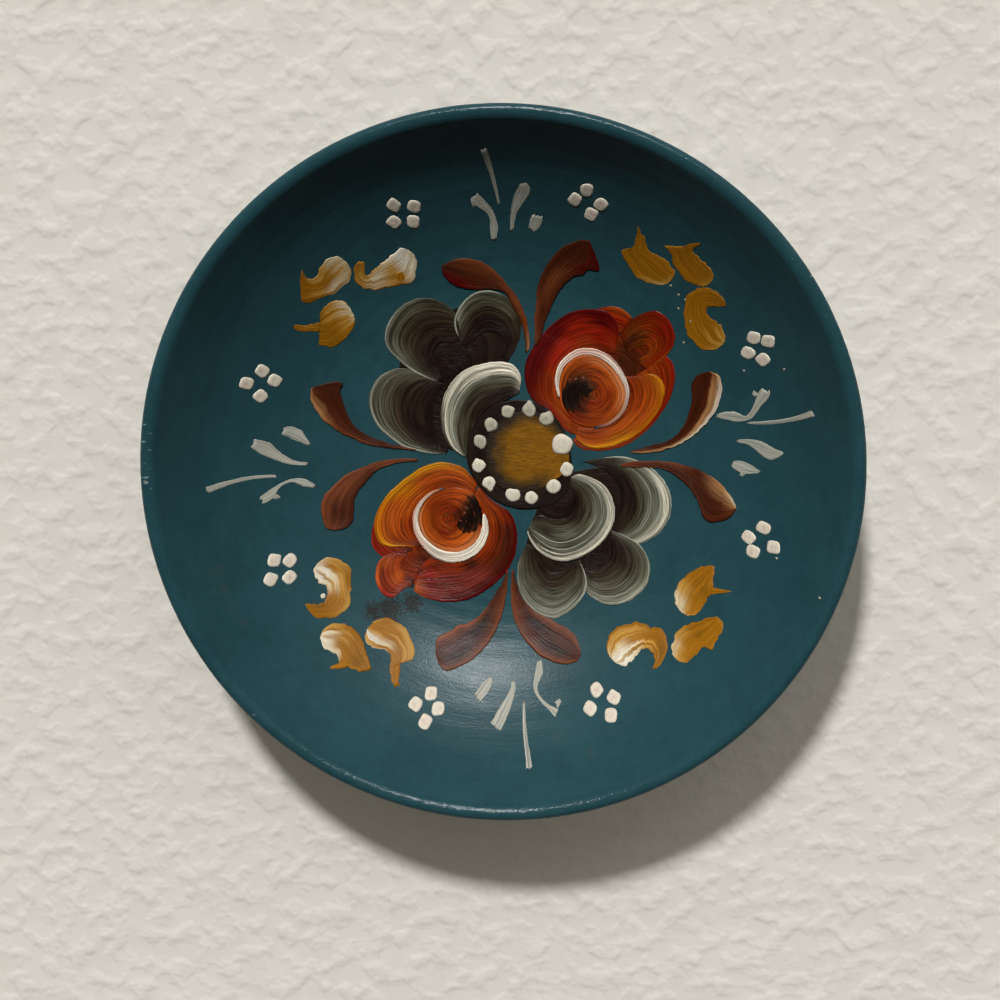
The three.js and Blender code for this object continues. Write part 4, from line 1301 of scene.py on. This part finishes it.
# Pale sprigs: the places of each stroke, with the brush's width at each
SPRIGS = [
    "-5.2 88 1.9, -3.7 83 1.5, -2.4 77.5 1, -1.4 71.8 0.6",
    "5.3 78.5 1.6, 5.6 76.5 4, 4 73.5 3, 2.6 70 1.8, 2.1 67 1.2, 1.9 64 1",
    "9.3 69.5 3, 8.6 67 3.4, 7.2 64.3 1.6",
    "-8.6 74.7 2.6, -7 73 3, -4.8 71 2, -3.4 68.5 1.6, -3.1 65.5 2.4, -3.4 61.6 1.2",
    "-8.6 73.5 1.6, -8.3 71 0.8",
    "60.1 12 0.6, 63 12.3 2.2, 66 12.2 3, 68 11.8 1.4, 70 13 1.4, 71.5 16 1.8, 73 19 3, 74 21.3 2.4",
    "71.8 18.6 1.8, 70 20 1",
    "68.8 10.8 0.6, 74 11.3 1, 80 12.8 1.2, 84 14.5 1.6, 86.3 15.8 1.9",
    "65.7 5 0.6, 69 5.3 1.4, 72.5 4.3 3.2, 75.5 2.6 4, 79 3.3 0.5",
    "65 -1.2 1.5, 68 -2.2 4, 73.2 -3.1 0.4",
    "69 -3 2, 67.5 -4.8 0.8",
    "-3.3 -65 1, -6 -68.5 3, -8.3 -71.5 2.6",
    "2.6 -66 0.7, 2.2 -69.5 1.8, 0 -74 3, -2.5 -78.5 3.6",
    "5.8 -71.3 0.5, 6 -76 1, 6.8 -82 1.2, 8 -87.8 1.9",
    "10.2 -60.3 1.2, 10 -64 2.2, 9 -68 1, 10.8 -71 0.8, 13.5 -73 1.2, 15.8 -74.3 2.6",
    "14.8 -72.6 2, 16.7 -70.5 0.8",
    "-64.5 7 2, -61 6 4, -56.8 2.2 0.6",
    "-72.5 4.3 2.5, -69 2.2 4, -65 -0.8 2.2, -61 -2.7 1.2, -57.3 -3 0.7",
    "-84.7 -8.2 2, -78 -6.6 1.3, -72 -5.9 1, -66 -6.1 0.8",
    "-70.5 -13 2, -68 -11.5 3, -65.5 -9 0.9, -62 -7.7 0.9, -59 -8.5 2.4, -55.2 -10 0.8",
    "-67 -11.6 2, -65.3 -12.6 0.7",
]
SPECKS = """67.7 25.9, 78.2 27.3, 77.5 -26.5, 88.3 -34.6, 46.9 49.6, 49.1 47, 49.2 43, 51 45.6,
    51.6 40.6, 52.6 39.4, 50.9 33.1"""


def sprigs(films):
    for stroke in SPRIGS:
        marks = np.array(spots(stroke))
        films.line(marks[:, :2], marks[:, 2], "mist", streak=0.16, ridges=0.03, thick=0.05,
                   ragged=1.0, load=0.4)
    for x, y in spots(SPECKS):
        films.dab(x, y, 0.3, 0.05, "bone")


# Beads of paint round the seeds: place, radius, the way a drawn out one points in degrees, and
# the tones of its rim and its middle. The middle tone is greyer than the rim, and its patches stand
# partly for painted shade on the bead's uneven top
BEADS = [
    (0.5, 12.1, 1.9, None, "bone ash"), (6.7, 12.6, 2.0, 90, "bone ash"),
    (11.7, 10, 2.0, 70, "bone ash"), (16.3, 2.6, 3.0, None, "chalk bone"),
    (17.7, -4.8, 2.0, None, "chalk bone"), (13.9, -9.9, 2.1, None, "chalk bone"),
    (7.4, -13.3, 1.9, None, "chalk bone"), (2, -12.5, 2.1, None, "chalk bone"),
    (-5, -9, 1.9, -80, "chalk ash"), (-8, -4, 1.9, 110, "chalk ash"),
    (-7.6, 3.3, 1.9, -75, "bone stone"), (-4.4, 8.3, 1.9, -110, "bone stone"),
]


def beads(films):
    for x, y, radius, point, tone in BEADS:
        films.dab(x, y, radius, 0.6, tone, level=12, point=point, uneven=0.14, square=0.3)


# Dots in diamonds of four, round the dish
DIAMONDS = [
    "-30.6 72.1, -25.1 71.7, -30.9 67.3, -25.6 67.4",
    "19.8 73.7, 23.1 76.4, 27 72.4, 24.3 69.6",
    "69.9 35.6, 73.7 34.9, 68.6 31.1, 72.6 29.5",
    "73.9 -18.7, 69.9 -21.9, 76.6 -23.7, 71.1 -25.7",
    "26.9 -67.6, 31.9 -69.1, 25.1 -72.4, 31.1 -73.6",
    "-21.3 -69.4, -25.6 -71.9, -19.1 -73.3, -22.6 -76.4",
    "-66.6 -30.1, -62.4 -30.6, -67.4 -35.3, -62.4 -35.3",
    "-69 25, -73.2 21.7, -65.9 22, -69.8 17.7",
]


def dot_diamonds(films):
    for dots in DIAMONDS:
        for x, y in spots(dots):
            films.dab(x, y, 1.8, 0.3, "chalk blush", level=1, uneven=0.1, square=0.75)


# Each paint's bristle marks, and its least and most roughness
PAINTS = {
    "red_paint": (0.42, (0.28, 0.42)),
    "grey_paint": (0.55, (0.3, 0.45)),
    "ochre_paint": (0.15, (0.36, 0.52)),
    "brown_paint": (0.26, (0.34, 0.5)),
    "cream_paint": (0.08, (0.4, 0.55)),
}
# The painted pieces: name, the function that lays its strokes, seed, and paint
PAINTED = [
    ("grey_rose_upper_left", grey_rose_upper_left, 13, "grey_paint"),
    ("grey_rose_lower_right", grey_rose_lower_right, 14, "grey_paint"),
    ("red_rose_upper_right", red_rose_upper_right, 11, "red_paint"),
    ("red_rose_lower_left", red_rose_lower_left, 12, "red_paint"),
    ("seed_centre", seed_centre, 15, "ochre_paint"),
    ("leaves", leaves, 16, "brown_paint"),
    ("ochre_scrolls", scrolls, 17, "ochre_paint"),
    ("white_sprigs", sprigs, 18, "cream_paint"),
    ("centre_beads", beads, 19, "cream_paint"),
    ("dot_diamonds", dot_diamonds, 20, "cream_paint"),
]
# The hanger's pieces: material slot, worn colour, tarnish, and the grain's scale along each axis
BRASS = {
    "hanger_strap": ("strap_brass", (0.45, 0.30, 0.11), (0.13, 0.08, 0.035), (900.0, 60.0, 900.0)),
    "hanger_ring": ("ring_brass", (0.50, 0.34, 0.13), (0.15, 0.09, 0.04), (700.0, 700.0, 120.0)),
    "hanger_pin_upper": ("pin_brass", (0.48, 0.32, 0.12), (0.14, 0.085, 0.04), (800.0, 800.0, 800.0)),
}
BRASS["hanger_pin_lower"] = BRASS["hanger_pin_upper"]

# The scene

plate = turned_plate(plate_paint())
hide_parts("turned_plate")
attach(plate, "plate")
paints = {name: oil_paint(name, *look) for name, look in PAINTS.items()}
for name, lay_strokes, seed, paint in PAINTED:
    films = Films(seed)
    lay_strokes(films)
    films.piece(name, paint, paints[paint])

metals = {}
for node, (slot, colour, dull, grain) in BRASS.items():
    if slot not in metals:
        metals[slot] = brass(slot, colour, dull, grain)
    part = frame["nodes"][node]
    part.data.materials.clear()
    part.data.materials.append(metals[slot])
    weld = part.modifiers.new("weld", "WELD")
    weld.merge_threshold = 0.002 * MM

backdrop(wall_material())
for name, settings in LAMPS.items():
    lamp(name, *settings)
world()
camera()
bpy.context.scene.view_settings.view_transform = "Standard"
